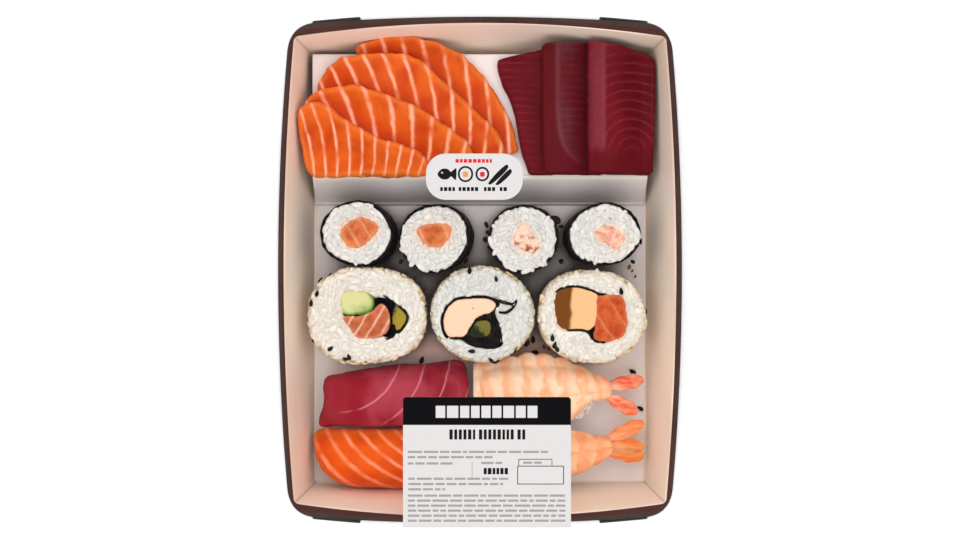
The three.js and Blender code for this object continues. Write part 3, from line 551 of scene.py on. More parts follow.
class Graph:
    """The nodes of one material, made by short calls."""

    def __init__(self, name: str, **sockets: Value) -> None:
        """Starts a material with one Principled shader.

        Args:
            name: the material's name.
            **sockets: values for the shader's own sockets, with _ for a space.
        """
        material = MATERIALS[name] = bpy.data.materials.new(name)
        material.use_nodes = True
        self.tree = material.node_tree
        self.shader = self.tree.nodes["Principled BSDF"]
        for socket, value in sockets.items():
            self.plug(self.shader, socket.replace("_", " "), value)
        self.place = self.tree.nodes.new("ShaderNodeTexCoord").outputs["Object"]

    def plug(self, node: bpy.types.Node, key: str | int, value: Value) -> None:
        """Links a socket to a node's input, or gives the input a number or a colour.

        Args:
            node: the node.
            key: the input's name or number.
            value: what goes into it.
        """
        holder = node.inputs[key]
        if isinstance(value, Socket):
            self.tree.links.new(value, holder)
        else:
            holder.default_value = (*light(value), 1.0) if holder.type == "RGBA" else value

    def add(self, kind: str, inputs: dict[str | int, Value], **settings: object) -> bpy.types.Node:
        """Adds a node.

        Args:
            kind: the node's type without its ShaderNode prefix.
            inputs: what goes into each input.
            **settings: the node's own settings.

        Returns:
            The node.
        """
        node = self.tree.nodes.new("ShaderNode" + kind)
        for name, value in settings.items():
            setattr(node, name, value)
        for key, value in inputs.items():
            self.plug(node, key, value)
        return node

    def mark(self, name: str) -> Socket:
        """The numbers of one of the piece's marks."""
        return self.add("Attribute", {}, attribute_name=name).outputs["Fac"]

    def maths(self, operation: str, a: Value, b: Value = 0.0) -> Socket:
        """One sum on two sockets or numbers."""
        return self.add("Math", {0: a, 1: b}, operation=operation).outputs[0]

    def times(self, a: Value, b: Value) -> Socket:
        """One value times another."""
        return self.maths("MULTIPLY", a, b)

    def share(self, value: Value, low: float, high: float) -> Socket:
        """A share that goes smoothly from 0 at low to 1 at high."""
        limits = {"Value": value, "From Min": low, "From Max": high}
        return self.add("MapRange", limits, interpolation_type="SMOOTHSTEP").outputs["Result"]

    def fall(self, value: Value, low: float, high: float) -> Socket:
        """A share that goes smoothly from 1 at low to 0 at high."""
        return self.maths("SUBTRACT", 1.0, self.share(value, low, high))

    def noise(self, size: float, detail: float = 2.0, stretch: Light = (1, 1, 1)) -> Socket:
        """Cloudy noise between 0 and 1.

        Args:
            size: the size of its blobs in mm.
            detail: how many finer layers it has.
            stretch: how much longer the blobs are along each axis.

        Returns:
            Its value.
        """
        scale = tuple(1000 / size / long for long in stretch)
        mapped = self.add("Mapping", {"Vector": self.place, "Scale": scale}).outputs[0]
        blobs = self.add("TexNoise", {"Vector": mapped, "Scale": 1.0, "Detail": detail})
        return blobs.outputs["Fac"]

    def drift(self, size: float, reach: float, detail: float = 2.0) -> Socket:
        """Noise of a size in mm that runs from minus to plus half of a reach."""
        return self.times(self.maths("SUBTRACT", self.noise(size, detail), 0.5), reach)

    def lines(self, mark: str, size: float, reach: float) -> tuple[Socket, Socket]:
        """A mark with a waver, and |sin(π·mark)|, which is 0 where the mark is whole."""
        phase = self.maths("ADD", self.mark(mark), self.drift(size, reach))
        return phase, self.maths("ABSOLUTE", self.maths("SINE", self.times(phase, math.pi)))

    def mixed(self, factor: Value, a: Value, b: Value) -> Socket:
        """A colour between two colours, with the factor as the second one's share."""
        return self.add("Mix", {0: factor, 6: a, 7: b}, data_type="RGBA").outputs[2]

    def finish(self, colour: Value, *bumps: tuple[Socket, float]) -> None:
        """Wires up the shader.

        Args:
            colour: the base colour.
            *bumps: heights of 0 to 1, each with the depth in mm that 1 stands for.
        """
        self.plug(self.shader, "Base Color", colour)
        normals = []
        for height, depth in bumps:
            node = self.add("Bump", {"Height": height, "Distance": depth * MM})
            for normal in normals[-1:]:
                self.plug(node, "Normal", normal)
            normals.append(node.outputs["Normal"])
        self.plug(self.shader, "Normal", normals[-1])


FLESH_RADIUS = (1.0, 0.35, 0.2)


@dataclass(frozen=True)
class Cardboard:
    """Coated board: an even colour with faint clouds and a fibre bump, painted shade where the mark
    "crease" is high, and a pale painted highlight and a painted warm bounce of light by their
    marks."""

    name: str
    colour: Colour
    cloud: Colour
    roughness: float = 0.6
    gloss: float = 0.3
    # The colours of painted shade, a painted highlight and a painted warm bounce of light.
    crease: Colour = (0.25, 0.17, 0.13)
    worn: Colour = (1.0, 0.93, 0.80)
    juice: Colour = (0.96, 0.50, 0.40)
    glow: float = 0.0

    def make(self) -> None:
        """Makes the material."""
        graph = Graph(self.name, Roughness=self.roughness, Specular_IOR_Level=self.gloss,
                      Emission_Strength=self.glow)
        colour = graph.mixed(graph.share(graph.noise(22, 3), 0.35, 0.75), self.colour, self.cloud)
        # Mixes in the painted warm bounce, the painted shade and the painted highlight by their
        # marks.
        for mark, cast in (("juice", self.juice), ("crease", self.crease), ("worn", self.worn)):
            colour = graph.mixed(graph.mark(mark), colour, cast)
        graph.finish(colour, (graph.noise(0.9, 3, (1, 4, 1)), 0.03))


@dataclass(frozen=True)
class Film:
    """Clear film: nearly all light passes, a little less where the mark "edge" is high."""

    name: str
    colour: Colour = (0.16, 0.17, 0.18)

    def make(self) -> None:
        """Makes the material."""
        graph = Graph(self.name, Roughness=0.08, IOR=1.5, Specular_IOR_Level=0.2)
        alpha = graph.maths("ADD", 0.01, graph.times(graph.mark("edge"), 0.14))
        graph.plug(graph.shader, "Alpha", alpha)
        graph.finish(self.colour, (graph.noise(34, 1), 0.25))


@dataclass(frozen=True)
class Paper:
    """Label paper or ink: an even colour with a fine tooth."""

    name: str
    colour: Colour

    def make(self) -> None:
        """Makes the material."""
        graph = Graph(self.name, Roughness=0.45, Specular_IOR_Level=0.05)
        fade = tuple(channel * 0.94 for channel in light(self.colour))
        graph.finish(graph.mixed(graph.noise(3), self.colour, fade), (graph.noise(0.5), 0.01))


@dataclass(frozen=True)
class Rice:
    """Cooked rice: off-white grains of slightly different tints, a little see-through, and stained
    where the mark for stains and shade is high: pale orange by the thin rolls' fillings, tan
    towards the big rolls' outer edge and painted shade on their ledges."""

    name: str
    colour: Colour
    shade: Colour
    speck: Colour
    # The colour mixed in by the mark for stains and shade; on the big rolls' ledges it is painted
    # shade.
    stain: Colour
    specks: float

    def make(self) -> None:
        """Makes the material."""
        graph = Graph(self.name, Roughness=0.42, Subsurface_Weight=0.25, IOR=1.4,
                      Subsurface_Radius=(1.0, 0.9, 0.75), Subsurface_Scale=1.2 * MM)
        colour = graph.mixed(graph.times(graph.mark("tint"), 0.5), self.colour, self.shade)
        spots = graph.share(graph.noise(1.5), self.specks, self.specks + 0.08)
        colour = graph.mixed(graph.times(spots, 0.6), colour, self.speck)
        patchy = graph.times(graph.mark("stain"), graph.share(graph.noise(4), 0.3, 0.6))
        graph.finish(graph.mixed(patchy, colour, self.stain), (graph.noise(1.1), 0.08))


@dataclass(frozen=True)
class Salmon:
    """Salmon flesh: pale fat lines where the mark "vein" is a whole number, painted shade in a
    deeper colour where the mark "shade" is high and a painted highlight, a paler edge, where
    the mark "rim" is high."""

    name: str
    flesh: Colour
    deep: Colour
    fat: Colour
    rim: Colour
    line: float
    fade: float
    cloud: float = 9.0

    def make(self) -> None:
        """Makes the material."""
        graph = Graph(self.name, Roughness=0.4, Subsurface_Weight=0.1, Specular_IOR_Level=0.07,
                      Subsurface_Radius=FLESH_RADIUS, Subsurface_Scale=1.5 * MM)
        clouds = graph.share(graph.noise(self.cloud, 3), 0.3, 0.75)
        colour = graph.mixed(clouds, self.flesh, self.deep)
        # Painted shade where the mark "shade" is high, then a painted highlight along the edges.
        colour = graph.mixed(graph.times(graph.mark("shade"), 0.85), colour, self.deep)
        colour = graph.mixed(graph.times(graph.mark("rim"), 0.55), colour, self.rim)
        phase, wave = graph.lines("vein", 5, 0.22)
        core, halo = graph.fall(wave, 0.05, self.line), graph.fall(wave, 0.1, 0.75)
        fat = graph.times(graph.times(core, graph.share(graph.noise(7), 0.2, 0.62)), self.fade)
        fine = graph.share(graph.maths("SINE", graph.times(phase, math.pi * 7)), 0.2, 1.0)
        streaks = graph.times(fine, graph.share(graph.noise(3), 0.35, 0.6))
        colour = graph.mixed(graph.times(streaks, 0.28), colour, self.deep)
        colour = graph.mixed(graph.times(halo, 0.25), colour, self.rim)
        graph.finish(graph.mixed(fat, colour, self.fat), (graph.noise(1.6), 0.1), (core, 0.12))


@dataclass(frozen=True)
class Tuna:
    """Tuna flesh: deep red with pale lines where the mark "arc" is whole and "lined" is high, a
    painted highlight as a pale cast from "pale" and painted shade on dark sides from "shade"."""

    name: str
    flesh: Colour
    deep: Colour
    pale: Colour
    streak: float
    width: float = 0.6
    drift: float = 0.4

    def make(self) -> None:
        """Makes the material."""
        graph = Graph(self.name, Roughness=0.45, Subsurface_Weight=0.06, Specular_IOR_Level=0.05,
                      Subsurface_Radius=FLESH_RADIUS, Subsurface_Scale=1.2 * MM)
        clouds = graph.share(graph.noise(11, 3, (1, 2.5, 1)), 0.35, 0.7)
        colour = graph.mixed(clouds, self.flesh, self.deep)
        lines = graph.fall(graph.lines("arc", 6, self.drift)[1], 0.0, self.width)
        lines = graph.times(lines, graph.share(graph.noise(13), 0.25, 0.5))
        lines = graph.times(lines, self.streak)
        colour = graph.mixed(graph.times(lines, graph.mark("lined")), colour, self.pale)
        # A painted highlight from the mark "pale", then painted shade from "shade".
        colour = graph.mixed(graph.mark("pale"), colour, self.pale)
        colour = graph.mixed(graph.times(graph.mark("shade"), 0.9), colour, self.deep)
        graph.finish(colour, (graph.noise(1.8, 3, (1, 3, 1)), 0.1))


@dataclass(frozen=True)
class Nori:
    """Seaweed sheet: near black with a brown cast and a papery crinkle."""

    name: str
    colour: Colour = (0.004, 0.003, 0.003)
    cast: Colour = (0.018, 0.010, 0.009)

    def make(self) -> None:
        """Makes the material."""
        graph = Graph(self.name, Roughness=0.6, Specular_IOR_Level=0.05)
        clouds = graph.share(graph.noise(3, 3), 0.4, 0.72)
        crinkle = graph.noise(1.2, 3, (1, 1, 3))
        graph.finish(graph.mixed(clouds, self.colour, self.cast), (crinkle, 0.2))


@dataclass(frozen=True)
class Shrimp:
    """Cooked shrimp: cream flesh with orange bands from the mark "band" and red fins from
    the mark "tail"."""

    name: str
    flesh: Colour
    band: Colour
    tail: Colour

    def make(self) -> None:
        """Makes the material."""
        graph = Graph(self.name, Roughness=0.38, Subsurface_Weight=0.35, Specular_IOR_Level=0.15,
                      Subsurface_Radius=FLESH_RADIUS, Subsurface_Scale=3 * MM)
        blotch = graph.times(graph.share(graph.noise(3.2, 3), 0.35, 0.7), 0.3)
        bands = graph.times(graph.mark("band"), graph.maths("ADD", blotch, 0.42))
        colour = graph.mixed(bands, self.flesh, self.band)
        streaks = graph.share(graph.noise(2.4, 2, (1, 3, 1)), 0.45, 0.7)
        colour = graph.mixed(graph.times(streaks, 0.14), colour, self.band)
        ribs = graph.times(graph.share(graph.noise(1.6, 2, (4, 1, 1)), 0.3, 0.75), 0.5)
        tail = graph.times(graph.mark("tail"), graph.maths("ADD", ribs, 0.5))
        graph.finish(graph.mixed(tail, colour, self.tail), (graph.noise(1.5), 0.12))


@dataclass(frozen=True)
class Filling:
    """A soft filling: one colour where the mark "side" is low and another where it is high."""

    name: str
    colour: Colour
    other: Colour
    cloud: float
    bump: float
    blur: float = 0.25

    def make(self) -> None:
        """Makes the material."""
        graph = Graph(self.name, Roughness=0.4, Subsurface_Weight=0.15, Specular_IOR_Level=0.1,
                      Subsurface_Radius=(1.0, 0.7, 0.4), Subsurface_Scale=1.2 * MM)
        side = graph.maths("ADD", graph.mark("side"), graph.drift(self.cloud, 0.7, 3))
        share = graph.share(side, 0.55 - self.blur, 0.55 + self.blur)
        graph.finish(graph.mixed(share, self.colour, self.other), (graph.noise(1.0, 3), self.bump))


@dataclass(frozen=True)
class Sesame:
    """Sesame seeds: an even skin whose tint differs a little from seed to seed."""

    name: str
    colour: Colour
    other: Colour

    def make(self) -> None:
        """Makes the material."""
        graph = Graph(self.name, Roughness=0.5, Specular_IOR_Level=0.1)
        graph.finish(graph.mixed(graph.mark("tint"), self.colour, self.other),
                     (graph.noise(0.5), 0.05))


FINISHES = (
    # Each board's crease colour is painted shade; the card's default pale and warm colours are a
    # painted highlight and a painted warm bounce of light.
    Cardboard("board_inside", 0xFDECDB, 0xFBE7D4),
    Cardboard("board_rim_brown", 0x4C2A24, 0x40231F, gloss=0.05),
    # A lighter grey copy of the rim's board: painted sheen of the lid's skirt on the lip's outer
    # half.
    Cardboard("board_rim_grey", 0x443530, 0x392C28, gloss=0.05),
    Cardboard("board_outside", 0x100B08, 0x160F0B, gloss=0.05),
    Cardboard("card", 0xF4EDEC, 0xEEE7E7, 0.45, 0.2, (0.06, 0.033, 0.02)),
    Cardboard("floor", (0.93, 0.93, 0.93), (0.92, 0.92, 0.92), glow=0.3),
    Film("clear_film"),
    Paper("label_paper", 0xD4D1D1),
    Paper("label_header", 0x050407),
    Paper("label_ink", 0x9C9998),
    Paper("label_dark_ink", 0x161517),
    Paper("label_red_ink", 0xD62838),
    Paper("label_amber_ink", 0xD69660),
    # The last colour of each rice is mixed in by the mark for stains and shade; on the big rolls'
    # ledges it is painted shade.
    Rice("rice", 0xE6E2DB, 0xCAC5BD, 0x8E9284,
         0xF4C4A4, 0.62),
    Rice("warm_rice", 0xEEE6DA, 0xD6CCBC, 0xC4B08A,
         0xC4A068, 0.64),
    Rice("cool_rice", 0xE0DED6, 0xC8C7C2, 0xBEB090,
         0xC0A67A, 0.66),
    # Each salmon's last colour is a painted highlight on lit edges; its deep colour also paints
    # shade.
    Salmon("salmon", 0xDC5F12, 0xC03A02, 0xFAAC8E,
           0xF28234, 0.5, 1.0),
    Salmon("nigiri_salmon", 0xE45A0C, 0xD24500, 0xFF966A,
           0xF4782E, 0.66, 1.0),
    Salmon("roll_salmon", 0xC87048, 0xA84E2C, 0xF0BCA6,
           0xD68A68, 0.5, 0.8, 4.0),
    Salmon("thin_salmon", 0xD67844, 0xB65226, 0xF0B08C,
           0xE29C72, 0.3, 0.45, 3.0),
    Salmon("deep_salmon", 0xCC5C2A, 0xAC3E16, 0xEC966A,
           0xD4764A, 0.25, 0.35, 3.0),
    # Each tuna's third colour is for real pale lines and, on the sashimi slices, a painted
    # highlight.
    Tuna("tuna", 0x6A0615, 0x580009, 0x883642, 0.3),
    Tuna("grey_tuna", 0x5C222C, 0x5A020C, 0x7C424A, 0.26),
    Tuna("nigiri_tuna", 0xAE3E4C, 0x8E1424, 0xD6828E,
         0.8, 0.2, 0.12),
    Nori("nori"),
    Shrimp("shrimp_red_tail", 0xFFD9BA, 0xFE9E60, 0xE04E20),
    Shrimp("shrimp_gold_tail", 0xFAC39A, 0xF48A4C, 0xE87414),
    # The shrimp filling's brown second colour is painted shade in spots between its lumps.
    Filling("shrimp_filling", 0xF8D2BC, 0x9C542E, 2.4, 0.14, 0.1),
    Filling("pink_filling", 0xF0C4AC, 0xD67C62, 1.4, 0.14, 0.15),
    Filling("cream", 0xFCCAAC, 0xF6BA98, 6, 0.05),
    # The omelette's dark brown second colour is painted shade on the block's left side.
    Filling("omelette", 0xEAB883, 0x723C00, 14, 0.1, 0.09),
    Filling("cucumber", 0xD0CE92, 0x588628, 3, 0.05, 0.42),
    Filling("leaf", 0x706A2C, 0x1C260C, 1.5, 0.2, 0.14),
    Filling("pale_leaf", 0x9E8B2A, 0x3C300C, 1.4, 0.2, 0.2),
    Sesame("black_sesame", (0.004, 0.003, 0.002), (0.012, 0.010, 0.008)),
    Sesame("pale_sesame", 0xE2CA9A, 0xCCAA70),
    Sesame("brown_crumb", 0x784622, 0xA06E3C),
)


# ---- tray, insert and lid


@dataclass(frozen=True)
class Bounds:
    """A bowed rectangle: half sizes at the middle of its sides and at its corners."""

    mid_x: float
    mid_y: float
    corner_x: float
    corner_y: float
    cut: float
    side_points = 13
    bend_points = 9

    def widened(self, distance: float) -> "Bounds":
        """The same rectangle moved outwards on every side."""
        return Bounds(*(size + distance for size in astuple(self)))

    def towards(self, other: "Bounds", share: float) -> "Bounds":
        """A rectangle between this one and another."""
        return Bounds(*(a + (b - a) * share for a, b in zip(astuple(self), astuple(other))))

    def side_x(self, y: Array) -> Array:
        """The half width at a depth: it falls by a parabola from the middle to the corner."""
        return self.mid_x - (self.mid_x - self.corner_x) * (y / self.corner_y) ** 2

    def end_y(self, x: Array) -> Array:
        """The half depth at a width, by a parabola too."""
        return self.mid_y - (self.mid_y - self.corner_y) * (x / self.corner_x) ** 2

    def outline(self) -> Array:
        """The bowed sides, joined at the corners by quadratic curves.

        Returns:
            The points, in four equal quarters from the middle of the right side.
        """
        last_y, first_x = self.corner_y - self.cut, self.corner_x - self.cut
        y, x = (np.linspace(*ends, self.side_points) for ends in ((0, last_y), (first_x, 0)))
        t = np.linspace(0, 1, self.bend_points + 2)[1:-1, None]
        ends = np.array([[self.side_x(last_y), last_y], [self.corner_x, self.corner_y],
                         [first_x, self.end_y(first_x)]])
        bend = ends[0] * (1 - t) ** 2 + 2 * ends[1] * t * (1 - t) + ends[2] * t**2
        quarter = np.vstack([np.column_stack([self.side_x(y), y]), bend,
                             np.column_stack([x, self.end_y(x)])])
        back = quarter[::-1]
        return np.vstack([quarter[:-1], back[:-1] * [-1, 1], quarter[:-1] * -1,
                          back[:-1] * [1, -1]])


FLOOR = Bounds(66.6, 85.8, 66.6, 85.8, 2)
OPENING = Bounds(74.5, 93.8, 70.6, 88.6, 2)
LIP = Bounds(76.8, 96.3, 72.4, 93.4, 10.5)


@dataclass
class Tray:
    """The folded board tray: a shell with a rounded, turned-down lip and glued corner flaps."""

    round_off: float = 0.35
    floor_shares: tuple[float, ...] = (0.02, 0.5, 0.96)
    inside_rings: int = 18
    tab_from: float = 46.0
    tab_to: float = 64.0
    tab_proud: float = 1.9
    tab_taper: float = 0.48
    tab_top: float = 38.6
    tab_bottom: float = 30.0

    def wall(self, outside: float, low: float, high: float, steps: int) -> list[Array]:
        """Rings up the leaning wall, each between the floor's and the opening's outline.

        Args:
            outside: how far the rings lie outside the wall's inner face.
            low: the lowest height.
            high: the highest height.
            steps: how many steps.

        Returns:
            The rings.
        """
        rings = []
        for height in np.linspace(low, high, steps + 1):
            share = (height - BOARD) / (TRAY_HEIGHT - BOARD)
            outline = FLOOR.towards(OPENING, share).widened(outside).outline()
            bow = 0.12 * ripple(at_height(outline, height), 46, 5)
            rings.append(at_height(grown(outline, bow), height))
        return rings

    def shell(self) -> Surface:
        """One closed skin: up the inside, round the lip, down the flange and back under the rim
        to the floor's underside, with quarter-round edges.

        Returns:
            The skin, with painted shade along the inside corners.
        """
        top, under, hem = TRAY_HEIGHT, TRAY_HEIGHT - BOARD, TRAY_HEIGHT - FLANGE_DROP
        r = self.round_off
        rings = [at_height(FLOOR.outline() * share, BOARD) for share in self.floor_shares]
        rings += self.wall(0, BOARD, top - r, 14)
        rings += [at_height(sizes.outline(), height) for sizes, height in (
            (OPENING.widened(r * 0.3), top - r * 0.3), (OPENING.widened(r), top),
            (OPENING.towards(LIP, 0.52), top), (LIP.widened(-r), top),
            (LIP.widened(-r * 0.3), top - r * 0.3), (LIP, top - r), (LIP, hem + r),
            (LIP.widened(-r * 0.3), hem + r * 0.3), (LIP.widened(-BOARD / 2), hem),
            (LIP.widened(-BOARD), hem + r), (LIP.widened(-BOARD), under),
            (OPENING.widened(BOARD), under))]
        rings += self.wall(BOARD, under - 1, 0, 8)
        floor = FLOOR.widened(BOARD).outline()
        rings += [at_height(floor * share, 0) for share in self.floor_shares[::-1]]
        # Finish 2, on the outer half of the lip's top, is the grey board with painted sheen of the
        # lid's skirt.
        bands = [self.inside_rings, 2, 2]
        zones = np.repeat([0, 1, 2, 3], [*bands, len(rings) - 1 - sum(bands)])
        mid_bend = Bounds.side_points + Bounds.bend_points // 2
        corner = np.abs(np.arange(len(rings[0])) % (len(rings[0]) / 4) - mid_bend) < 1.5
        inside = np.arange(len(rings)) < self.inside_rings
        # Painted shade down the inside corners, carried by the mark "crease".
        crease = np.concatenate([np.outer(inside, corner).ravel() * 0.35, [0, 0]])
        return loft(rings, finish=zones).marked(crease=crease)

    def tab(self, side: int, end: int) -> Surface:
        """A flap that follows the lip's curve and thins towards its outer end.

        Args:
            side: 1 on the right and -1 on the left.
            end: 1 at the back and -1 at the front.

        Returns:
            The flap.
        """
        x = np.linspace(self.tab_from, self.tab_to, 17)
        heights = np.linspace(self.tab_bottom, self.tab_top, 7)
        edge = 1 - np.abs(np.linspace(-1, 1, 7)) ** 6
        proud = self.tab_proud - self.tab_taper * np.linspace(0, 1, 17)
        proud = proud[:, None] * (0.55 + 0.45 * edge)[None]
        grid_x, grid_z = np.meshgrid(side * x, heights, indexing="ij")
        faces = [np.stack([grid_x, end * (LIP.end_y(x)[:, None] + depth), grid_z], axis=-1)
                 for depth in (proud, np.full_like(proud, -BOARD / 2))]
        return slab(*faces, finish=3)

    def build(self) -> None:
        """Makes the tray's piece."""
        tabs = [self.tab(side, end) for side in (1, -1) for end in (1, -1)]
        looks = "board_inside board_rim_brown board_rim_grey board_outside"
        placed("tray_board", joined([self.shell(), *tabs]), looks, "tray", 32)


@dataclass
class Insert:
    """The folded card: a flat deck, a slanted riser and a platform with a back leg. Painted shade
    darkens it in the gaps between what stands on it."""

    standing: Sequence[Oval]
    fold: float = 1.3
    sides: Spot = (48, 62)  # where the gaps' shade fades
    riser_shade: float = 0.36
    gap_reach: float = 3.1

    def path(self) -> Array:
        """The fold line: straight runs joined by quadratic bends.

        Returns:
            Places in y and z, from the back leg's foot to the deck's front.
        """
        corners = np.array([[PLATFORM_BACK, INSERT_UNDER], [PLATFORM_BACK, PLATFORM_TOP],
                            [PLATFORM_FRONT, PLATFORM_TOP], [RISER_FOOT, DECK_TOP],
                            [DECK_FRONT, DECK_TOP]])
        points = [corners[:1]]
        t = np.linspace(0, 1, 7)[:, None]
        for before, corner, after in zip(corners, corners[1:], corners[2:]):
            start, end = (corner + (far - corner) / np.linalg.norm(far - corner) * self.fold
                          for far in (before, after))
            points.append(start * (1 - t) ** 2 + 2 * corner * t * (1 - t) + end * t**2)
            steps = 49 if after[1] == DECK_TOP else 9
            points.append(end + (after - end) * np.linspace(0.02, 0.98, steps)[:, None])
        return np.vstack([*points, corners[-1:]])

    def shaded(self, card: Surface) -> Surface:
        """Paints light and shade on the card: painted shade in the gaps between the rolls and low
        on the riser, a painted warm bounce of light between the rolls and the nigiri, and a painted
        highlight along the platform's front edge.

        Args:
            card: the card.

        Returns:
            The same card.
        """
        x, y, z = np.abs(card.vertices[:, 0]), card.vertices[:, 1], card.vertices[:, 2]
        past, aside = PLATFORM_FRONT - y, smooth_step(*self.sides, x)
        # Painted shade low on the riser.
        riser = smooth_step(0.2, 1.2, past) * (z > DECK_TOP + 0.2)
        low = 1 - smooth_step(DECK_TOP + 1, PLATFORM_TOP - 2.5, z)
        riser = riser * low * (1 - 0.85 * smooth_step(44, 64, x)) * self.riser_shade
        outside = [distance_outside(shape.outline(48), card.vertices[:, :2])
                   for shape in self.standing]
        # Painted shade in the gaps round the rolls.
        gaps = 1.3 * sum(np.exp(-np.maximum(d, 0) / self.gap_reach) for d in outside) - 0.42
        gaps = np.clip(gaps, 0, 0.93) * (y < PLATFORM_FRONT - 6) * (z < DECK_TOP + 2)
        gaps = gaps * (1 - 0.6 * aside)
        # A painted warm bounce of light on the deck between the rolls and the nigiri.
        juice = 0.7 * bell(y, -31, 6) * (1 - aside)
        # Painted shade goes into the mark "crease", and a painted highlight along the platform's
        # front edge.
        return card.marked(crease=np.maximum(riser, gaps), juice=juice,
                           worn=bell(past, 0.5, 0.75) * (z > 14))

    def build(self) -> None:
        """Makes the card's piece: the path carried along X, with a slow sag of a tenth of a mm."""
        path = self.path()
        along = unit(np.gradient(path, axis=0))
        inner = path + np.column_stack([-along[:, 1], along[:, 0]]) * BOARD
        x = np.linspace(-INSERT_WIDTH / 2, INSERT_WIDTH / 2, 71)
        faces = []
        for line in (path, inner):
            grid = np.empty((len(x), len(line), 3))
            grid[..., 0] = x[:, None]
            grid[..., 1:] = line[None]
            grid[..., 2] += 0.08 * ripple(grid, 60, 11)
            faces.append(grid)
        placed("insert_card", self.shaded(slab(*faces)), "card", "insert", 40)


class Lid:
    """The clear lid: a flat panel with a short skirt over the lip."""

    def build(self) -> None:
        """Makes the lid's piece: rings out over the panel, down the skirt and back beneath."""
        outside = LIP.widened(LID_OVER_LIP)
        inside = outside.widened(-CLEAR)
        hem = LID_TOP - LID_SKIRT
        shares = (0.02, 0.3, 0.6, 0.85, 0.95)
        rings = [at_height(inside.outline() * share, LID_TOP) for share in shares]
        rings += [at_height(sizes.outline(), height) for sizes, height in (
            (inside.widened(-0.5), LID_TOP), (inside, LID_TOP - 0.06),
            (outside.widened(-0.15), LID_TOP - 0.28), (outside, LID_TOP - CLEAR), (outside, hem),
            (inside, hem), (inside, LID_UNDER))]
        rings += [at_height(inside.outline() * share, LID_UNDER) for share in shares[::-1]]
        film = loft(rings)
        film.marked(edge=film.vertices[:, 2] < LID_UNDER - 0.1)
        placed("lid_film", film, "clear_film", "lid", 50).visible_shadow = False


# ---- labels


class Ink(IntEnum):
    """The finish numbers of a label's paper and print."""

    PAPER = 0
    DARK = 1
    GREY = 2
    RED = 3
    AMBER = 4


INKS = "label_paper label_dark_ink label_ink label_red_ink label_amber_ink"
LABEL_UNDER = LID_TOP + LABEL_LIFT
PRINT_UNDER = LID_TOP + LABEL_LIFT + SHEET - 0.02  # a hair inside the paper
PRINT_HEIGHT = 0.045


def rounded(x: float, y: float, width: float, depth: float, corner: float) -> Array:
    """A rectangle's outline with round corners.

    Args:
        x: the middle across.
        y: the middle along.
        width: the size across.
        depth: the size along.
        corner: the corner radius.

    Returns:
        The points, one row each.
    """
    parts = []
    for turn, (sx, sy) in enumerate(((1, 1), (-1, 1), (-1, -1), (1, -1))):
        angle = np.linspace(0, math.pi / 2, 9) + turn * math.pi / 2
        centre = [x + sx * (width / 2 - corner), y + sy * (depth / 2 - corner)]
        parts.append(centre + corner * np.column_stack([np.cos(angle), np.sin(angle)]))
    return np.vstack(parts)


def stamped(outline: Array, ink: Ink, lift: float = 0.0) -> Surface:
    """A printed shape: its outline, its ink, and how far above other print it lies."""
    low = PRINT_UNDER + lift
    rings = [at_height(outline, low), at_height(outline, low + PRINT_HEIGHT)]
    return loft(rings, finish=ink.value)


def bar(x: float, y: float, width: float, depth: float, ink: Ink, corner: float = 0.2,
        lift: float = 0.0) -> Surface:
    """A thin printed bar at a middle, of a size, a colour and a corner radius, on other print."""
    corner = min(corner, width / 2.01, depth / 2.01)
    return stamped(rounded(x, y, width, depth, corner), ink, lift)


def dashes(start: float, end: float, y: float, height: float, ink: Ink,
           widths: Spot = (1.6, 6.0), gap: float = 0.7) -> list[Surface]:
    """A row of dashes whose lengths are drawn from a range.

    Args:
        start: where the row starts across.
        end: where it ends.
        y: where it lies along.
        height: the dashes' height.
        ink: their colour.
        widths: the shortest and longest dash.
        gap: the space between dashes.

    Returns:
        The dashes.
    """
    rng = np.random.default_rng(int(abs(y) * 100))
    parts, x = [], start
    while x < end - 0.5:
        width = min(float(rng.uniform(*widths)), end - x)
        parts.append(bar(x + width / 2, y, width, height, ink, 0.15))
        x += width + gap
    return parts


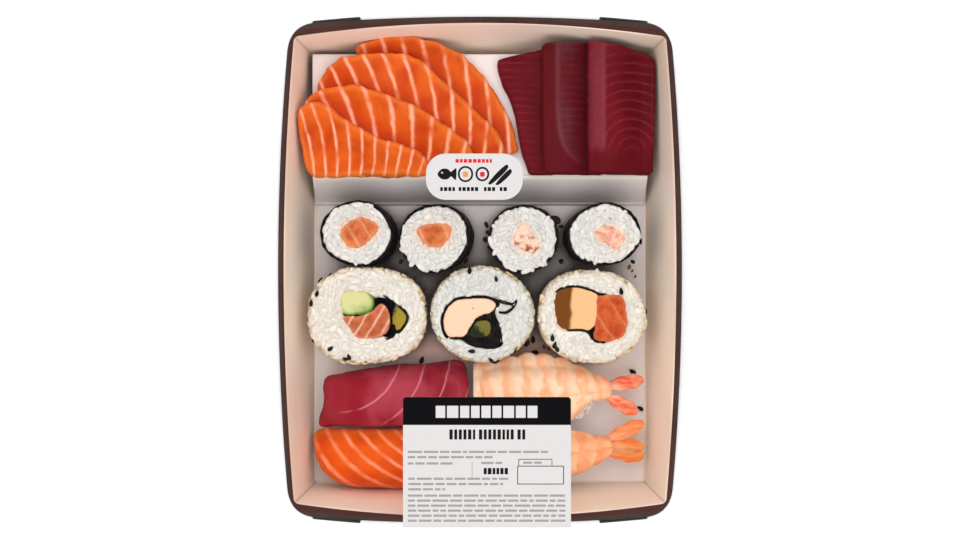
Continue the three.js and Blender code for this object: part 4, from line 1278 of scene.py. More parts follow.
@dataclass
class Badge:
    """The badge on the lid, with a drawing of a fish, two rolls and two sticks between rows of
    dashes. Drawn shapes are counted from its middle."""

    x: float = -2.1
    y: float = 35.4
    width: float = 36.8
    depth: float = 17.6
    corner: float = 7.5
    fish: Spots = ((-14.0, 0.9), (-12.4, 2.9), (-10.2, 2.9), (-8.4, 1.5), (-7.0, 3.4),
                            (-7.2, -1.4), (-8.4, 0.4), (-10.2, -0.9), (-12.4, -0.9))
    sticks: Sequence[Spots] = (((5.2, -2.7), (5.9, -3.0), (12.9, 3.7), (12.3, 4.6)),
                                        ((8.0, -3.0), (8.8, -3.2), (14.2, 1.9), (13.6, 2.9)))

    def build(self) -> None:
        """Makes the badge: the sheet, the red row, the drawings and the dark rows."""
        x, y = self.x, self.y
        parts = [loft([
            at_height(rounded(x, y, self.width - narrower, self.depth - narrower,
                              self.corner - narrower / 2), LABEL_UNDER + height)
            for narrower, height in ((0.0, 0.0), (0.0, SHEET * 0.7), (0.25, SHEET))])]
        parts += dashes(x - 7.2, x + 6.6, y + 6.0, 1.4, Ink.RED, (1.0, 1.4), 0.4)
        parts += [stamped(Loop(corners).outline(48) + [x, y], Ink.DARK)
                  for corners in (self.fish, *self.sticks)]
        parts.append(bar(x - 12.3, y + 1.5, 0.7, 0.7, Ink.PAPER, 0.35, 0.02))
        for across, size, core in ((-3.4, 5.8, Ink.AMBER), (3.0, 5.2, Ink.RED)):
            inner = size - 1.5, (size - 1.4) * 1.06
            parts.append(bar(x + across, y + 1.0, size, size * 1.06, Ink.DARK, size / 2))
            parts.append(bar(x + across, y + 1.0, *inner, Ink.PAPER, size / 2, 0.02))
            parts.append(bar(x + across, y + 0.9, size * 0.34, size * 0.36, core, 0.5, 0.04))
        for start, end in ((-13.0, -7.4), (-6.0, 2.2), (3.6, 8.2), (9.6, 13.0)):
            parts += dashes(x + start, x + end, y - 4.7, 1.5, Ink.DARK, (0.9, 1.3), 0.4)
        placed("badge", joined(parts), INKS, "lid_badge", 40).visible_shadow = False


@dataclass
class FrontLabel:
    """The label that folds down over the lid's front. Its print is counted from its back left
    corner."""

    x: float = 2.65
    width: float = 63.7
    back: float = -48.2
    drop: float = 12.0
    corner: float = 1.3
    bend: float = 0.9
    header: float = 10.6

    def sheet(self) -> Surface:
        """A sheet carried from its back edge forwards and down over the lid's front, with round
        back corners.

        Returns:
            The sheet, with a dark header on its first stretch.
        """
        front = -(LIP.mid_y + LID_OVER_LIP + REST + SHEET)
        top, bend, corner = LABEL_UNDER + SHEET, self.bend, self.corner
        round_in = corner * (1 - np.cos(np.linspace(0, math.pi / 2, 9)))
        header_end = self.back - self.header
        header = np.linspace(self.back - corner - 0.6, header_end, 12)
        rest = np.linspace(header_end - 0.02, front + bend, 20)
        y = np.concatenate([self.back - round_in, header, rest])
        angle = np.linspace(0, math.pi / 2, 8)[1:]
        down = np.linspace(top - bend - 0.5, top - self.drop - SHEET, 8)
        y_line = np.concatenate([y, front + bend - bend * np.sin(angle), np.full(8, front)])
        z_line = np.concatenate([np.full(len(y), top), top - bend + bend * np.cos(angle), down])
        reach = np.full(len(y_line), self.width / 2)
        reach[:9] -= corner * (1 - np.sqrt(np.clip(1 - (1 - round_in / corner) ** 2, 0, 1)))
        across = np.linspace(-1, 1, 25)
        along = unit(np.gradient(np.column_stack([y_line, z_line]), axis=0))
        grid = np.empty((len(y_line), len(across), 3))
        grid[..., 0] = self.x + reach[:, None] * across
        grid[..., 1] = y_line[:, None]
        grid[..., 2] = z_line[:, None]
        under = grid.copy()
        under[..., 1] += (-along[:, 1] * SHEET)[:, None]
        under[..., 2] += (along[:, 0] * SHEET)[:, None]
        sheet = slab(grid, under)
        dark_rows = len(round_in) + len(header) - 1
        sheet.finishes[0][: dark_rows * (len(across) - 1)] = Ink.DARK.value
        return sheet

    def print_rows(self) -> list[Surface]:
        """The print: blocks on the header, a title, rows of dashes, a rule and an outlined box.

        Returns:
            Its bars.
        """
        left, top = self.x - self.width / 2, self.back
        parts = dashes(left + 12.4, left + 51.0, top - 5.6, 4.6, Ink.PAPER, (3.2, 4.4), 0.7)
        for start, end in ((17.6, 27.4), (28.8, 42.0), (43.4, 47.0)):
            parts += dashes(left + start, left + end, top - 14.2, 3.8, Ink.DARK, (0.9, 1.3), 0.6)
        lines = [(20.8, 1.8, 55.0), (22.8, 1.8, 34.0), (25.2, 1.8, 20.0), (25.0, 29.6, 37.6),
                 (31.0, 2.0, 40.0), (33.0, 2.0, 38.0), (35.0, 2.0, 16.0), (24.9, 45.6, 53.4)]
        lines += [(float(y), 1.8, 61.6) for y in np.arange(37.4, 47.6, 1.9)]
        for y, start, end in lines:
            parts += dashes(left + start, left + end, top - y, 0.85, Ink.GREY)
        parts += dashes(left + 30.6, left + 39.8, top - 28.1, 2.4, Ink.DARK, (1.0, 1.5), 0.4)
        parts.append(bar(left + 26.2, top - 27.6, 0.25, 6.2, Ink.GREY, 0.05))
        x, y, width, depth = left + 52.2, top - 29.6, 17.4, 6.8
        box = [(x, y + depth / 2, width, 0.3), (x, y - depth / 2, width, 0.3),
               (x - width / 2, y, 0.3, depth), (x + width / 2, y, 0.3, depth),
               (x - 2.0, y + 6.0, 12.6, 0.25), (x - 8.3, y + 4.8, 0.25, 2.4),
               (x + 4.3, y + 4.8, 0.25, 2.4)]
        return parts + [bar(*side, Ink.DARK, 0.05) for side in box]

    def build(self) -> None:
        """Makes the label and its print."""
        looks = INKS.replace("label_dark_ink", "label_header")
        paper = placed("front_label_paper", self.sheet(), looks, "front_label", 40)
        print_ = placed("front_label_print", joined(self.print_rows()), INKS, "", 40)
        paper.visible_shadow = print_.visible_shadow = False


# ---- sashimi


@dataclass(frozen=True)
class Veins:
    """Where the fat lines of a salmon slice run: they stand across X at a pitch, slanted by one
    amount at the slice's left end and by another at its right end, and bowed."""

    pitch: float
    start: float
    left: float
    right: float
    bow: float
    from_x: float
    to_x: float
    middle_y: float

    def phase(self, points: Array) -> Array:
        """The count of lines passed: (x + slant(x)·(y - middle) + bow·(y - middle)²) / pitch.

        Args:
            points: places in mm.

        Returns:
            A number for each place, whole on a line.
        """
        share = np.clip((points[:, 0] - self.from_x) / (self.to_x - self.from_x), 0, 1)
        slant = self.left + (self.right - self.left) * share
        up = points[:, 1] - self.middle_y
        return (points[:, 0] - self.start + slant * up + self.bow * up**2) / self.pitch


SALMON_SHAPES = (
    Loop([(-48, 85.4), (-39.6, 89.4), (-30, 90), (-18.6, 88.6), (-7, 83.6), (2.8, 74), (10.2, 61.8),
          (14, 52.6), (14.4, 46), (6, 46), (-14, 58), (-40, 72)]),
    Loop([(-63.4, 69.3), (-57.6, 80.2), (-41.8, 83.4), (-25.2, 82), (-17, 75.2), (-2.9, 62.8),
          (7.8, 52), (9, 43), (-8, 41), (-34, 52), (-54, 62)]),
    Loop([(-67.8, 65), (-61.4, 69.8), (-49.5, 71), (-34.4, 67), (-24, 62.7), (-12, 54.9),
          (-3.1, 47.2), (-2, 38.5), (-20, 37), (-52, 38), (-65, 52)]),
    Loop([(-70.2, 60.8), (-66.6, 64), (-60.4, 64.3), (-51.5, 58.1), (-38, 50.7), (-25.2, 46.5),
          (-19.6, 41.8), (-19, 37.2), (-42, 36.8), (-66.2, 37.1), (-69, 48)]),
)
SALMON_VEINS = (
    Veins(7.2, -40.5, 0.30, 0.05, 0.0, -48, 14, 70),
    Veins(6.7, -44.0, 0.40, -0.05, 0.004, -60, 8, 62),
    Veins(7.5, -41.0, 0.42, -0.22, 0.004, -62, -6, 56),
    Veins(5.0, -50.4, 0.18, -0.26, 0.006, -66, -22, 47),
)
TUNA_SHAPES = (
    Cornered([(7, 81.9), (6.6, 80.2), (7.4, 76), (8.5, 72.2), (11.3, 67), (13.6, 60), (15, 51.6),
              (16.4, 44.6), (18.9, 37.8), (20.4, 36.9), (28.4, 37), (29.5, 38.2), (29.6, 62),
              (29.6, 85.4), (28.4, 86.7), (22, 85.5), (14.5, 84), (8.6, 82.6)]),
    Cornered([(23.9, 86.6), (23.6, 85.2), (23.6, 62), (23.8, 50), (24.4, 38.4), (25.6, 37),
              (36, 36.9), (47.4, 37), (48.6, 38.2), (48.6, 62), (48.6, 86.6), (47.4, 88),
              (39.5, 88.1), (30.5, 87.8), (25.2, 87.5)]),
    Cornered([(41.5, 87.4), (41.3, 86), (41.3, 62), (41.4, 38.2), (42.6, 37), (54.5, 36.9),
              (66.2, 37), (67.5, 38.2), (67.9, 50), (68.3, 62), (68.4, 72), (68.2, 81.6),
              (66.8, 83.6), (62.5, 84.9), (54.5, 86.9), (43, 88.6)]),
)
TUNA_ARCS = (((14, -20), 2.8), ((36, -30), 2.8), ((58.9, 44.4), 3.6))  # middle and pitch


@dataclass
class FishSlice:
    """A slab of fish with rounded edges, lying on a surface given by its height."""

    shape: Loop | Cornered
    thickness: float
    rest: Height
    sunk: Height
    seed: int
    edge: float
    wavy: float
    steps: int = 180

    def surface(self) -> Surface:
        """Rings out along the underside, round the edge by a half circle and in over the top.
        Heights are the resting height plus the thickness times (1 + sin) / 2 at the edge.

        Returns:
            The slab, with the mark "rim" high close to its edge, where salmon gets a painted
            highlight.
        """
        outline = self.shape.outline(self.steps)
        wavy = 0.25 * ripple(outline, 7, self.seed) + 0.12 * ripple(outline, 2.6, self.seed + 1)
        outline = grown(outline, wavy * self.wavy)
        inner = inset(outline, self.edge)
        rings = []
        for share in np.linspace(0.03, 0.95, 14):
            ring = shrunk(inner, share / 0.95)
            rings.append(at_height(ring, self.sunk(ring) + 0.1))
        for angle in np.linspace(-1.2, 1.5, 10):
            ring = inset(outline, self.edge * (1 - math.cos(angle)))
            low, high = self.sunk(ring) + 0.1, self.rest(ring) + self.thickness
            rings.append(at_height(ring, low + (high - low) * (1 + math.sin(angle)) / 2))
        for share in np.linspace(1, 0.03, 42)[1:]:
            ring = shrunk(inner, share)
            height = self.rest(ring) + self.thickness
            uneven = ripple(ring, 10, self.seed + 2) + 0.4 * ripple(ring, 4, self.seed + 3)
            rings.append(at_height(ring, height + 0.2 * self.wavy * uneven * (1 - share**8)))
        surface = loft(rings)
        depth = -distance_outside(outline, surface.vertices[:, :2])
        return surface.marked(rim=1 - smooth_step(0.4, 3.2, depth))


@dataclass
class Sashimi:
    """The salmon and tuna slices on the platform, each draped over the ones below it."""

    run: Spot = (2.5, 16.5)  # the distance over which a slice comes down from a lower one
    back_rise: Light = (11, 80, 98)  # how much, and from where to where
    side_rise: Light = (8, 62, 80)
    sunk_gap: float = 0.25
    salmon_thickness: float = 4.6
    tuna_thickness: float = 5.8

    def rest_on(self, lower: Sequence[Loop | Cornered], thickness: float, gap: float) -> Height:
        """The height that a slice rests at: the platform, plus each lower slice's thickness and a
        gap that fade with the distance outside it, plus a rise up the tray's walls.

        Args:
            lower: the slices below.
            thickness: their thickness in mm.
            gap: the clearance kept above each.

        Returns:
            A function from places to heights.
        """
        outlines = [shape.outline(60) for shape in lower]

        def height(points: Array) -> Array:
            """The resting height.

            Args:
                points: places in mm.

            Returns:
                A height for each place.
            """
            level = np.full(len(points), PLATFORM_TOP + REST)
            for outline in outlines:
                outside = distance_outside(outline, points[:, :2])
                level += (thickness + gap) * (1 - smooth_step(*self.run, outside))
            back, side = (rise * smooth_step(low, high, far) for (rise, low, high), far in (
                (self.back_rise, points[:, 1]), (self.side_rise, np.abs(points[:, 0]))))
            return level + np.maximum(back, side)

        return height

    def slices(self, shapes: Sequence[Loop | Cornered], thickness: float, seed: int,
               edge: float, wavy: float) -> list[Surface]:
        """The surfaces of one kind of fish, with the mark "shade" high where the next slice up is
        close.

        Args:
            shapes: the slices' outlines from the lowest up.
            thickness: their thickness in mm.
            seed: for the draws.
            edge: the radius of their edges.
            wavy: how uneven the slices are.

        Returns:
            A surface for each slice.
        """
        surfaces = []
        for i, shape in enumerate(shapes):
            rest, sunk = (self.rest_on(shapes[:i], thickness, gap)
                          for gap in (DRAPE_GAP, self.sunk_gap))
            fish = FishSlice(shape, thickness, rest, sunk, seed + 10 * i, edge, wavy)
            surface = fish.surface().marked(shade=0.0)
            for above in shapes[i + 1 : i + 2]:
                gap = distance_outside(above.outline(80), surface.vertices[:, :2])
                surface.marked(shade=1 - smooth_step(0.5, 8.5, gap))
            surfaces.append(surface)
        return surfaces

    def build(self) -> None:
        """Makes the seven pieces. The middle tuna slice has painted shade left of a curved edge, on
        its slanted side, and towards where the right slice lies over it, with a painted highlight
        just right of that edge; the right one has a pale painted highlight strip down its left side
        and painted shade at its front end."""
        salmon = self.slices(SALMON_SHAPES, self.salmon_thickness, 100, 1.7, 1.0)
        for i, (surface, veins) in enumerate(zip(salmon, SALMON_VEINS)):
            surface.marked(vein=veins.phase(surface.vertices))
            surface.vertices[:, 1] += 0.6 * smooth_step(55, 85, surface.vertices[:, 1])
            placed(f"salmon_sashimi_{i + 1}", surface, "salmon", f"salmon_slice_{i + 1}")
        tuna = self.slices(TUNA_SHAPES, self.tuna_thickness, 200, 1.5, 0.25)
        for i, (surface, (middle, pitch)) in enumerate(zip(tuna, TUNA_ARCS)):
            x, y = surface.vertices[:, 0], surface.vertices[:, 1]
            reach = np.linalg.norm((surface.vertices[:, :2] - middle) * [1.15, 1], axis=1)
            # dark holds painted shade on side faces, near the next slice and at front ends; pale a
            # painted highlight along lit edges.
            dark, pale = 0 * x, 0 * x
            if i == 1:
                side = 28.9 + 14.8 * np.exp(-(y - 38.4) / 5.6)
                dark = 1 - smooth_step(-0.9, 0.9, x - side) + 0.4 * smooth_step(36, 40, x)
                pale = 0.35 * bell(x - side, 1.0, 0.9)
            elif i == 2:
                dark = 0.8 * smooth_step(50, 42, y)
                strip = bell(x, 45.4, 3.0, 4) * 0.5 + 0.35 * bell(x, 47.8, 0.7)
                pale = strip * smooth_step(43, 49, y)
            shade = np.clip(surface.marks["shade"] * 0.35 + dark, 0, 1)
            surface.marked(arc=reach / pitch, lined=1.0, shade=shade, pale=pale)
            placed(f"tuna_sashimi_{i + 1}", surface, "grey_tuna" if i == 1 else "tuna",
                   f"tuna_slice_{i + 1}")


# ---- rice


GRAIN = pebble(7, 4)
GRAIN_SIZE = np.array([5.4, 2.5, 2.3])
SEED = pebble(8, 5, 0.45)
SEED_SIZE = np.array([2.8, 1.7, 1.0])
SIDE_FROM = 0.97  # past this share of the way to a roll's edge, a seed lies on the side


def grains(rng: np.random.Generator, least: float, centres: Array, lie: Array,
           facing: Array) -> Surface:
    """Grains of rice of slightly different sizes.

    Args:
        rng: the draws.
        least: the smallest size as a share of a whole grain.
        centres: where each grain is, in mm.
        lie: the direction of its length.
        facing: the direction of its height.

    Returns:
        The grains.
    """
    count = len(centres)
    sizes = GRAIN_SIZE * rng.uniform(least, 1.15, (count, 1)) * rng.uniform(0.9, 1.1, (count, 3))
    return scattered(GRAIN, centres, lie, facing, sizes)


def grains_on_top(outline: Array, hole: Array, top: float, seed: int,
                  spacing: float = 1.95) -> Surface:
    """Grains on a cut face: a jittered grid between the outline and the hole, each grain lying
    nearly level and cut off flat just above the face.

    Args:
        outline: the rice's outer edge.
        hole: the edge of the hole.
        top: the height of the cut.
        seed: for the draws.
        spacing: the distance between grains in mm.

    Returns:
        The grains.
    """
    rng = np.random.default_rng(seed)
    low, high = outline.min(axis=0), outline.max(axis=0)
    x, y = np.meshgrid(*(np.arange(low[i], high[i], spacing) for i in (0, 1)))
    jitter = rng.uniform(-0.75, 0.75, (x.size, 2)) * spacing
    spots = np.column_stack([x.ravel(), y.ravel()]) + jitter
    edge, inner = -distance_outside(outline, spots), distance_outside(hole, spots)
    keep = (edge > 1.2) & (inner > 0.8)
    spots, close = spots[keep], np.minimum(edge, inner)[keep]
    count = len(spots)
    centres = np.column_stack([spots, top - 0.95 + rng.uniform(-0.3, 0.3, count)])
    tangent = bearing(spots, outline.mean(axis=0)) + math.pi / 2 + rng.normal(0, 0.3, count)
    turn = np.where(close < 2.2, tangent, rng.uniform(0, 2 * math.pi, count))
    lie = np.column_stack([np.cos(turn), np.sin(turn), rng.normal(0, 0.2, count)])
    rice = grains(rng, 0.8, centres, lie, np.tile([0.0, 0.0, 1.0], (count, 1)))
    rice.vertices[:, 2] -= np.maximum(rice.vertices[:, 2] - (top - 0.3), 0) * 0.75
    return rice


def grains_on_side(outline: Array, low: float, high: float, depth: float, seed: int, taper: Height,
                   spacing: float = 2.5) -> Surface:
    """Grains round a side: a jittered grid along the outline and up, lying in the surface.

    Args:
        outline: the rice's outer edge.
        low: the lowest height.
        high: the highest height.
        depth: how far inside the edge the grains' middles lie.
        seed: for the draws.
        taper: the share of the outline's size for each height.
        spacing: the distance between grains in mm.

    Returns:
        The grains.
    """
    rng = np.random.default_rng(seed)
    run = distances(outline)
    around, up = np.meshgrid(np.arange(0, run[-1], spacing), np.arange(low, high, spacing * 0.85))
    count = around.size
    around = (around.ravel() + rng.uniform(-0.6, 0.6, count) * spacing) % run[-1]
    up = np.clip(up.ravel() + rng.uniform(-0.5, 0.5, count) * spacing, low, high)
    spots = at_distances(outline, run, around)
    along = unit(at_distances(outline, run, (around + 0.5) % run[-1]) - spots)
    out = np.column_stack([along[:, 1], -along[:, 0]])
    middle = outline.mean(axis=0)
    sunk = (depth + rng.uniform(-0.25, 0.25, count))[:, None]
    spots = middle + (spots - middle) * taper(up)[:, None] - out * sunk
    turn = rng.uniform(0, 2 * math.pi, count)
    lie = np.column_stack([along * np.cos(turn)[:, None], np.sin(turn)])
    lie = lie + rng.normal(0, 0.15, (count, 3))
    facing = np.column_stack([out, np.zeros(count)])
    return grains(rng, 0.85, np.column_stack([spots, up]), lie, facing)


# ---- rolls


@dataclass(frozen=True)
class Cut:
    """What shows in a roll's cut face: a filling's node, finish, slot and outline, which way its
    second colour lies, which way its fat lines count, how much lining shows round it and its
    relief."""

    node: str
    finish: str
    slot: str
    corners: Spots
    side: Spot = (0.0, 0.0)
    base: float = 0.0
    skin: float = 0.0
    lines: Spot = (0.0, 0.0)
    lining: float = 0.0
    lumps: float = 0.22


def risen(height: Array) -> Array:
    """The share of a roll's height, from 0 at its foot to 1 at its cut face."""
    return (height - FOOD_BASE) / (ROLL_TOP - FOOD_BASE)


@dataclass
class Roll:
    """What thin rolls and big rolls have in common: a column of rice round a hole, whose foot
    lies away from its top by the lean."""

    name: str
    shape: Oval
    lean: Spot
    angles = directions(120)

    def left_to_lean(self, height: Array) -> Array:
        """The lean that is left at each height, one row each."""
        share = (ROLL_TOP - np.asarray(height, float)) / (ROLL_TOP - FOOD_BASE)
        return np.reshape(share, (-1, 1)) * np.array(self.lean)

    def level(self, outline: Array, height: float | Array) -> Array:
        """The outline at a height, moved by the lean that is left there."""
        return at_height(outline + self.left_to_lean(height), height)

    def core(self, outline: Array, hole: Array, depth: float, seed: int, taper: Height,
             drop: float = 0.62) -> Surface:
        """The rice under the grains: up the side, in over the top and down the hole, with bumps of
        grain size.

        Args:
            outline: the rice's outer edge.
            hole: the edge of the hole.
            depth: how far the core lies inside the edge.
            seed: for the draws.
            taper: the share of the outline's size for each height.
            drop: how far the core lies below the cut.

        Returns:
            The core.
        """
        inner = grown(outline, -depth)
        rings = []
        for height in np.linspace(FOOD_BASE, ROLL_TOP - drop - 0.6, 14):
            ring = at_height(shrunk(inner, float(taper(np.array(height)))), height)
            ring[:, :2] = grown(ring[:, :2], 0.35 * ripple(ring, 3.2, seed))
            rings.append(ring)
        for share in np.linspace(0.04, 1, 12):
            ring = inner + (hole - inner) * share
            rings.append(at_height(ring, ROLL_TOP - drop + 0.3 * ripple(ring, 3.0, seed + 1)))
        rings += [at_height(hole, height) for height in (ROLL_TOP - drop - 1.5, FOOD_BASE)]
        return loft(rings, looped=True).marked(tint=0.4)

    def wrap(self, outer: Array, inner: Array, top: Array, taper: float, seed: int) -> Surface:
        """A tube of seaweed: up the outside and down the inside, with a ragged top edge.

        Args:
            outer: the outside's outline.
            inner: the inside's outline.
            top: the height of the edge at each point.
            taper: how much narrower its foot is.
            seed: for the draws.

        Returns:
            The tube.
        """
        rings = []
        for skin, shares in ((outer, np.linspace(0, 1, 12)), (inner, np.linspace(1, 0, 5))):
            for share in shares:
                height = FOOD_BASE + (top - FOOD_BASE) * share
                ring = self.level(shrunk(skin, taper + (1 - taper) * share), height)
                if skin is outer:
                    fine = 0.07 * ripple(ring * [1, 1, 0.35], 1.8, seed + 1)
                    ring[:, :2] = grown(ring[:, :2], 0.14 * ripple(ring, 5, seed) + fine)
                rings.append(ring)
        return loft(rings, looped=True)

    def fill(self, cut: Cut, seed: int, hollow: Array, top: float) -> None:
        """Makes a filling's piece: a column whose top is domed, uneven and spread out towards the
        hollow's wall.

        Args:
            cut: the filling.
            seed: for the draws.
            hollow: the hollow's outline.
            top: the height of its top.
        """
        foot = Loop(cut.corners).outline(90)
        gap = -distance_outside(hollow, foot)
        spread = np.where(gap < 2.6, np.clip(gap - cut.lining, 0, 2), 0.45)
        spread = np.convolve(np.tile(spread, 3), np.ones(5) / 5, "same")[90:180]
        outline = grown(foot, spread + 0.12 * ripple(foot, 2.2, seed))
        rings = [self.level(foot, height) for height in np.linspace(FOOD_BASE, top - 3.2, 6)]
        rings.append(self.level(outline, top - 1.2))
        for narrower, fall in ((0.06, 0.5), (0.22, 0.2), (0.5, 0.05)):
            rings.append(self.level(grown(outline, -narrower), top - fall))
        inner = grown(outline, -0.5)
        for share in np.linspace(0.93, 0.04, 14):
            ring = shrunk(inner, share)
            uneven = cut.lumps * (ripple(ring, 3.4, seed + 1) + 0.4 * ripple(ring, 1.3, seed + 2))
            rings.append(self.level(ring, top + uneven * min(1, (1 - share) * 5)))
        surface = loft(rings)
        offset = surface.vertices[:, :2] - outline.mean(axis=0)
        half = np.abs(outline - outline.mean(axis=0)).max(axis=0)
        # The mark "rim" gives salmon fillings a painted highlight along their edge; the cucumber's
        # skin colour follows it too.
        rim = 1 - smooth_step(0.1, 1.6, -distance_outside(outline, surface.vertices[:, :2]))
        side = (offset / half) @ np.array(cut.side) + cut.base + cut.skin * rim
        surface.marked(side=side, vein=offset @ np.array(cut.lines) + 0.5, rim=rim, shade=0.0)
        placed(f"{cut.node}_piece", surface, cut.finish, cut.node)


@dataclass
class ThinRoll(Roll):
    """A thin roll: seaweed outside, rice, and one filling. Rice hides the seaweed's edge along
    the bare stretches, each given by its middle and half width in degrees and the share that is
    hidden."""

    filling: Cut
    bare: Sequence[tuple[float, float, float]]

    def bareness(self, direction: Array) -> Array:
        """The share of the seaweed's edge that rice covers in each direction in degrees."""
        return np.max([most * within(direction, middle, half, 0.6)
                       for middle, half, most in self.bare], axis=0)

    @staticmethod
    def taper(height: Array) -> Array:
        """Straight sides that narrow towards the foot."""
        return BASE_TAPER + (1 - BASE_TAPER) * (height - FOOD_BASE) / (ROLL_TOP - FOOD_BASE)

    def build(self) -> None:
        """Makes the seaweed, the rice and the filling."""
        seed = self.shape.seed * 31
        outer = self.shape.outline(len(self.angles))
        centre = outer.mean(axis=0)
        drop = 1.6 * self.bareness(np.degrees(bearing(outer, centre)))
        edge = ROLL_TOP - 0.3 - drop + 0.35 * ripple(outer, 3.5, seed) * (0.4 + drop)
        over = np.interp(self.angles, np.radians(np.arange(361)), self.bareness(np.arange(361.0)))
        wrap = self.wrap(outer, grown(outer, -NORI * 0.75), edge, BASE_TAPER, seed)
        placed(f"{self.name}_wrap", wrap, "nori", f"{self.name}_nori")
        rice = by_direction(grown(outer, -NORI - REST), centre, self.angles)
        filling = Loop(self.filling.corners).outline(80)
        hole = by_direction(grown(filling, 0.1), filling.mean(axis=0), self.angles)
        top = grains_on_top(grown(rice, 0.3 + 0.8 * over), hole, ROLL_TOP, seed + 3)
        column = joined([self.core(rice, hole, 0.1, seed + 2, self.taper), top])
        column.vertices[:, :2] += self.left_to_lean(column.vertices[:, 2])
        outside = distance_outside(hole, column.vertices[:, :2])
        column.marked(stain=0.75 - 0.75 * smooth_step(0.4, 2.4, outside))
        placed(f"{self.name}_grains", column, "rice", f"{self.name}_rice")
        self.fill(self.filling, seed + 4, grown(filling, 0.25), ROLL_TOP)


@dataclass
class BigRoll(Roll):
    """A big roll: rice outside with sesame, a seaweed lining round a cavity, and fillings. Black
    seeds are each given by a direction in degrees and a share of the way from the middle to the
    edge, past 1 on the side. Along hidden stretches, each a middle and a half width in degrees,
    the rice reaches over the lining by the ledge. A swirl is the path of a loose end of seaweed
    in the rice, and the lining of a roll with one is bunched up between the fillings."""

    rice: str
    cavity: Spots
    fillings: Sequence[Cut]
    black: Spots
    hidden: Spots = ()
    ledge: float = 0.0
    swirl: Spots = ()
    pale_count: int = 80
    black_count: int = 26

    def hiding(self, outline: Array) -> Array:
        """How far the rice hides the lining at each point of an outline, from 0 to 1."""
        direction = np.degrees(bearing(outline, outline.mean(axis=0)))
        return np.max([np.zeros(len(outline)), *(within(direction, middle, half, 0.8)
                                                 for middle, half in self.hidden)], axis=0)

    @staticmethod
    def barrel(height: Array) -> Array:
        """A side that bulges upwards from the foot by a quarter sine."""
        return BASE_TAPER + (1 - BASE_TAPER) * np.sin(risen(height) * math.pi / 2)

    def seeds(self, outline: Array, spots: Spots | Array, seed: int) -> Surface:
        """Sesame seeds pressed into the rice, on the cut face or, past the edge, on the side.

        Args:
            outline: the rice's outer edge.
            spots: a direction in degrees and a share of the way to the edge for each seed.
            seed: for the draws.

        Returns:
            The seeds.
        """
        rng = np.random.default_rng(seed)
        centre = outline.mean(axis=0)
        angle, reach = np.radians(spots[:, 0]), spots[:, 1]
        edge = by_direction(outline, centre, angle)
        out = np.column_stack([np.cos(angle), np.sin(angle)])
        on_side = reach > SIDE_FROM
        share = np.where(on_side, 1.0, reach)
        below = np.where(on_side, 0.9 + (reach - SIDE_FROM) * 100, 0.0)
        height = np.where(on_side, ROLL_TOP - below, ROLL_TOP + 0.25)
        bulge = np.where(on_side, self.barrel(height), 1)[:, None]
        place = centre + (edge - centre) * share[:, None] * bulge
        count = len(spots)
        turn = rng.uniform(0, math.pi, count)
        cos, sin = np.cos(turn), np.sin(turn)
        flat = np.column_stack([cos, sin, np.zeros(count)])
        upright = np.column_stack([-out[:, 1] * cos, out[:, 0] * cos, sin])
        lie = np.where(on_side[:, None], upright, flat)
        outward = np.column_stack([out, np.zeros(count)])
        facing = np.where(on_side[:, None], outward, [0.0, 0.0, 1.0])
        sizes = SEED_SIZE * rng.uniform(0.85, 1.1, (count, 1))
        return scattered(SEED, np.column_stack([place, height]), lie, facing, sizes)

    def lining(self, hollow: Array, seed: int) -> Surface:
        """The seaweed inside: a tube, or where it's bunched a block with a crumpled top that the
        fillings stand in.

        Args:
            hollow: the cavity's outline.
            seed: for the draws.

        Returns:
            The lining.
        """
        top = ROLL_TOP - 0.2 + 0.2 * ripple(hollow, 3.5, seed)
        top -= 2.4 * self.hiding(hollow)
        inner = grown(hollow, -NORI * 0.8)
        if not self.swirl:
            return self.wrap(hollow, inner, top, 1.0, seed)
        sides = np.linspace(FOOD_BASE, ROLL_TOP - 1.2, 6)
        rings = [self.level(hollow, height) for height in (*sides, top)]
        rings += [self.level(inner, height) for height in (top, ROLL_TOP - 1.6)]
        for share in np.linspace(0.92, 0.05, 16):
            ring = shrunk(inner, share)
            rings.append(self.level(ring, ROLL_TOP - 1.2 + 0.5 * ripple(ring, 2.6, seed + 1)))
        path = Loop(self.swirl).outline(90)
        end = [self.level(grown(path, side), ROLL_TOP + lift)
               for side, lift in ((0.25, -2.0), (0.3, 0.2), (-0.3, 0.2), (-0.25, -2.0))]
        return joined([loft(rings), loft(end, looped=True)])

    def lip(self, hollow: Array, seed: int) -> Surface:
        """The rice that reaches over the lining: a ring with grains on it, both darkened with
        painted shade.

        Args:
            hollow: the cavity's outline.
            seed: for the draws.

        Returns:
            The rice.
        """
        hiding = self.hiding(hollow)
        inner = grown(hollow, -0.1 - (self.ledge + 0.3 * ripple(hollow, 3, seed)) * hiding)
        outer, drop = grown(hollow, 0.9), 2 * (1 - hiding)
        ring = loft([at_height(outer, ROLL_TOP - 0.9), at_height(outer, ROLL_TOP - 4),
                     at_height(inner, ROLL_TOP - 4), at_height(inner, ROLL_TOP - 1.6 - drop),
                     at_height(grown(inner, 0.5), ROLL_TOP - 1.1 - drop)], looped=True)
        # Painted shade on the ledge: the ring is tinted tan, most on its face towards the hollow.
        ring.marked(tint=0.6, stain=np.repeat([0.2, 0.2, 0.6, 0.45, 0.35], len(hollow)))
        on_it = grains_on_top(grown(hollow, 1.9), inner, ROLL_TOP - 0.3, seed + 6, 1.6)
        return joined([ring, on_it.marked(stain=0.12)])

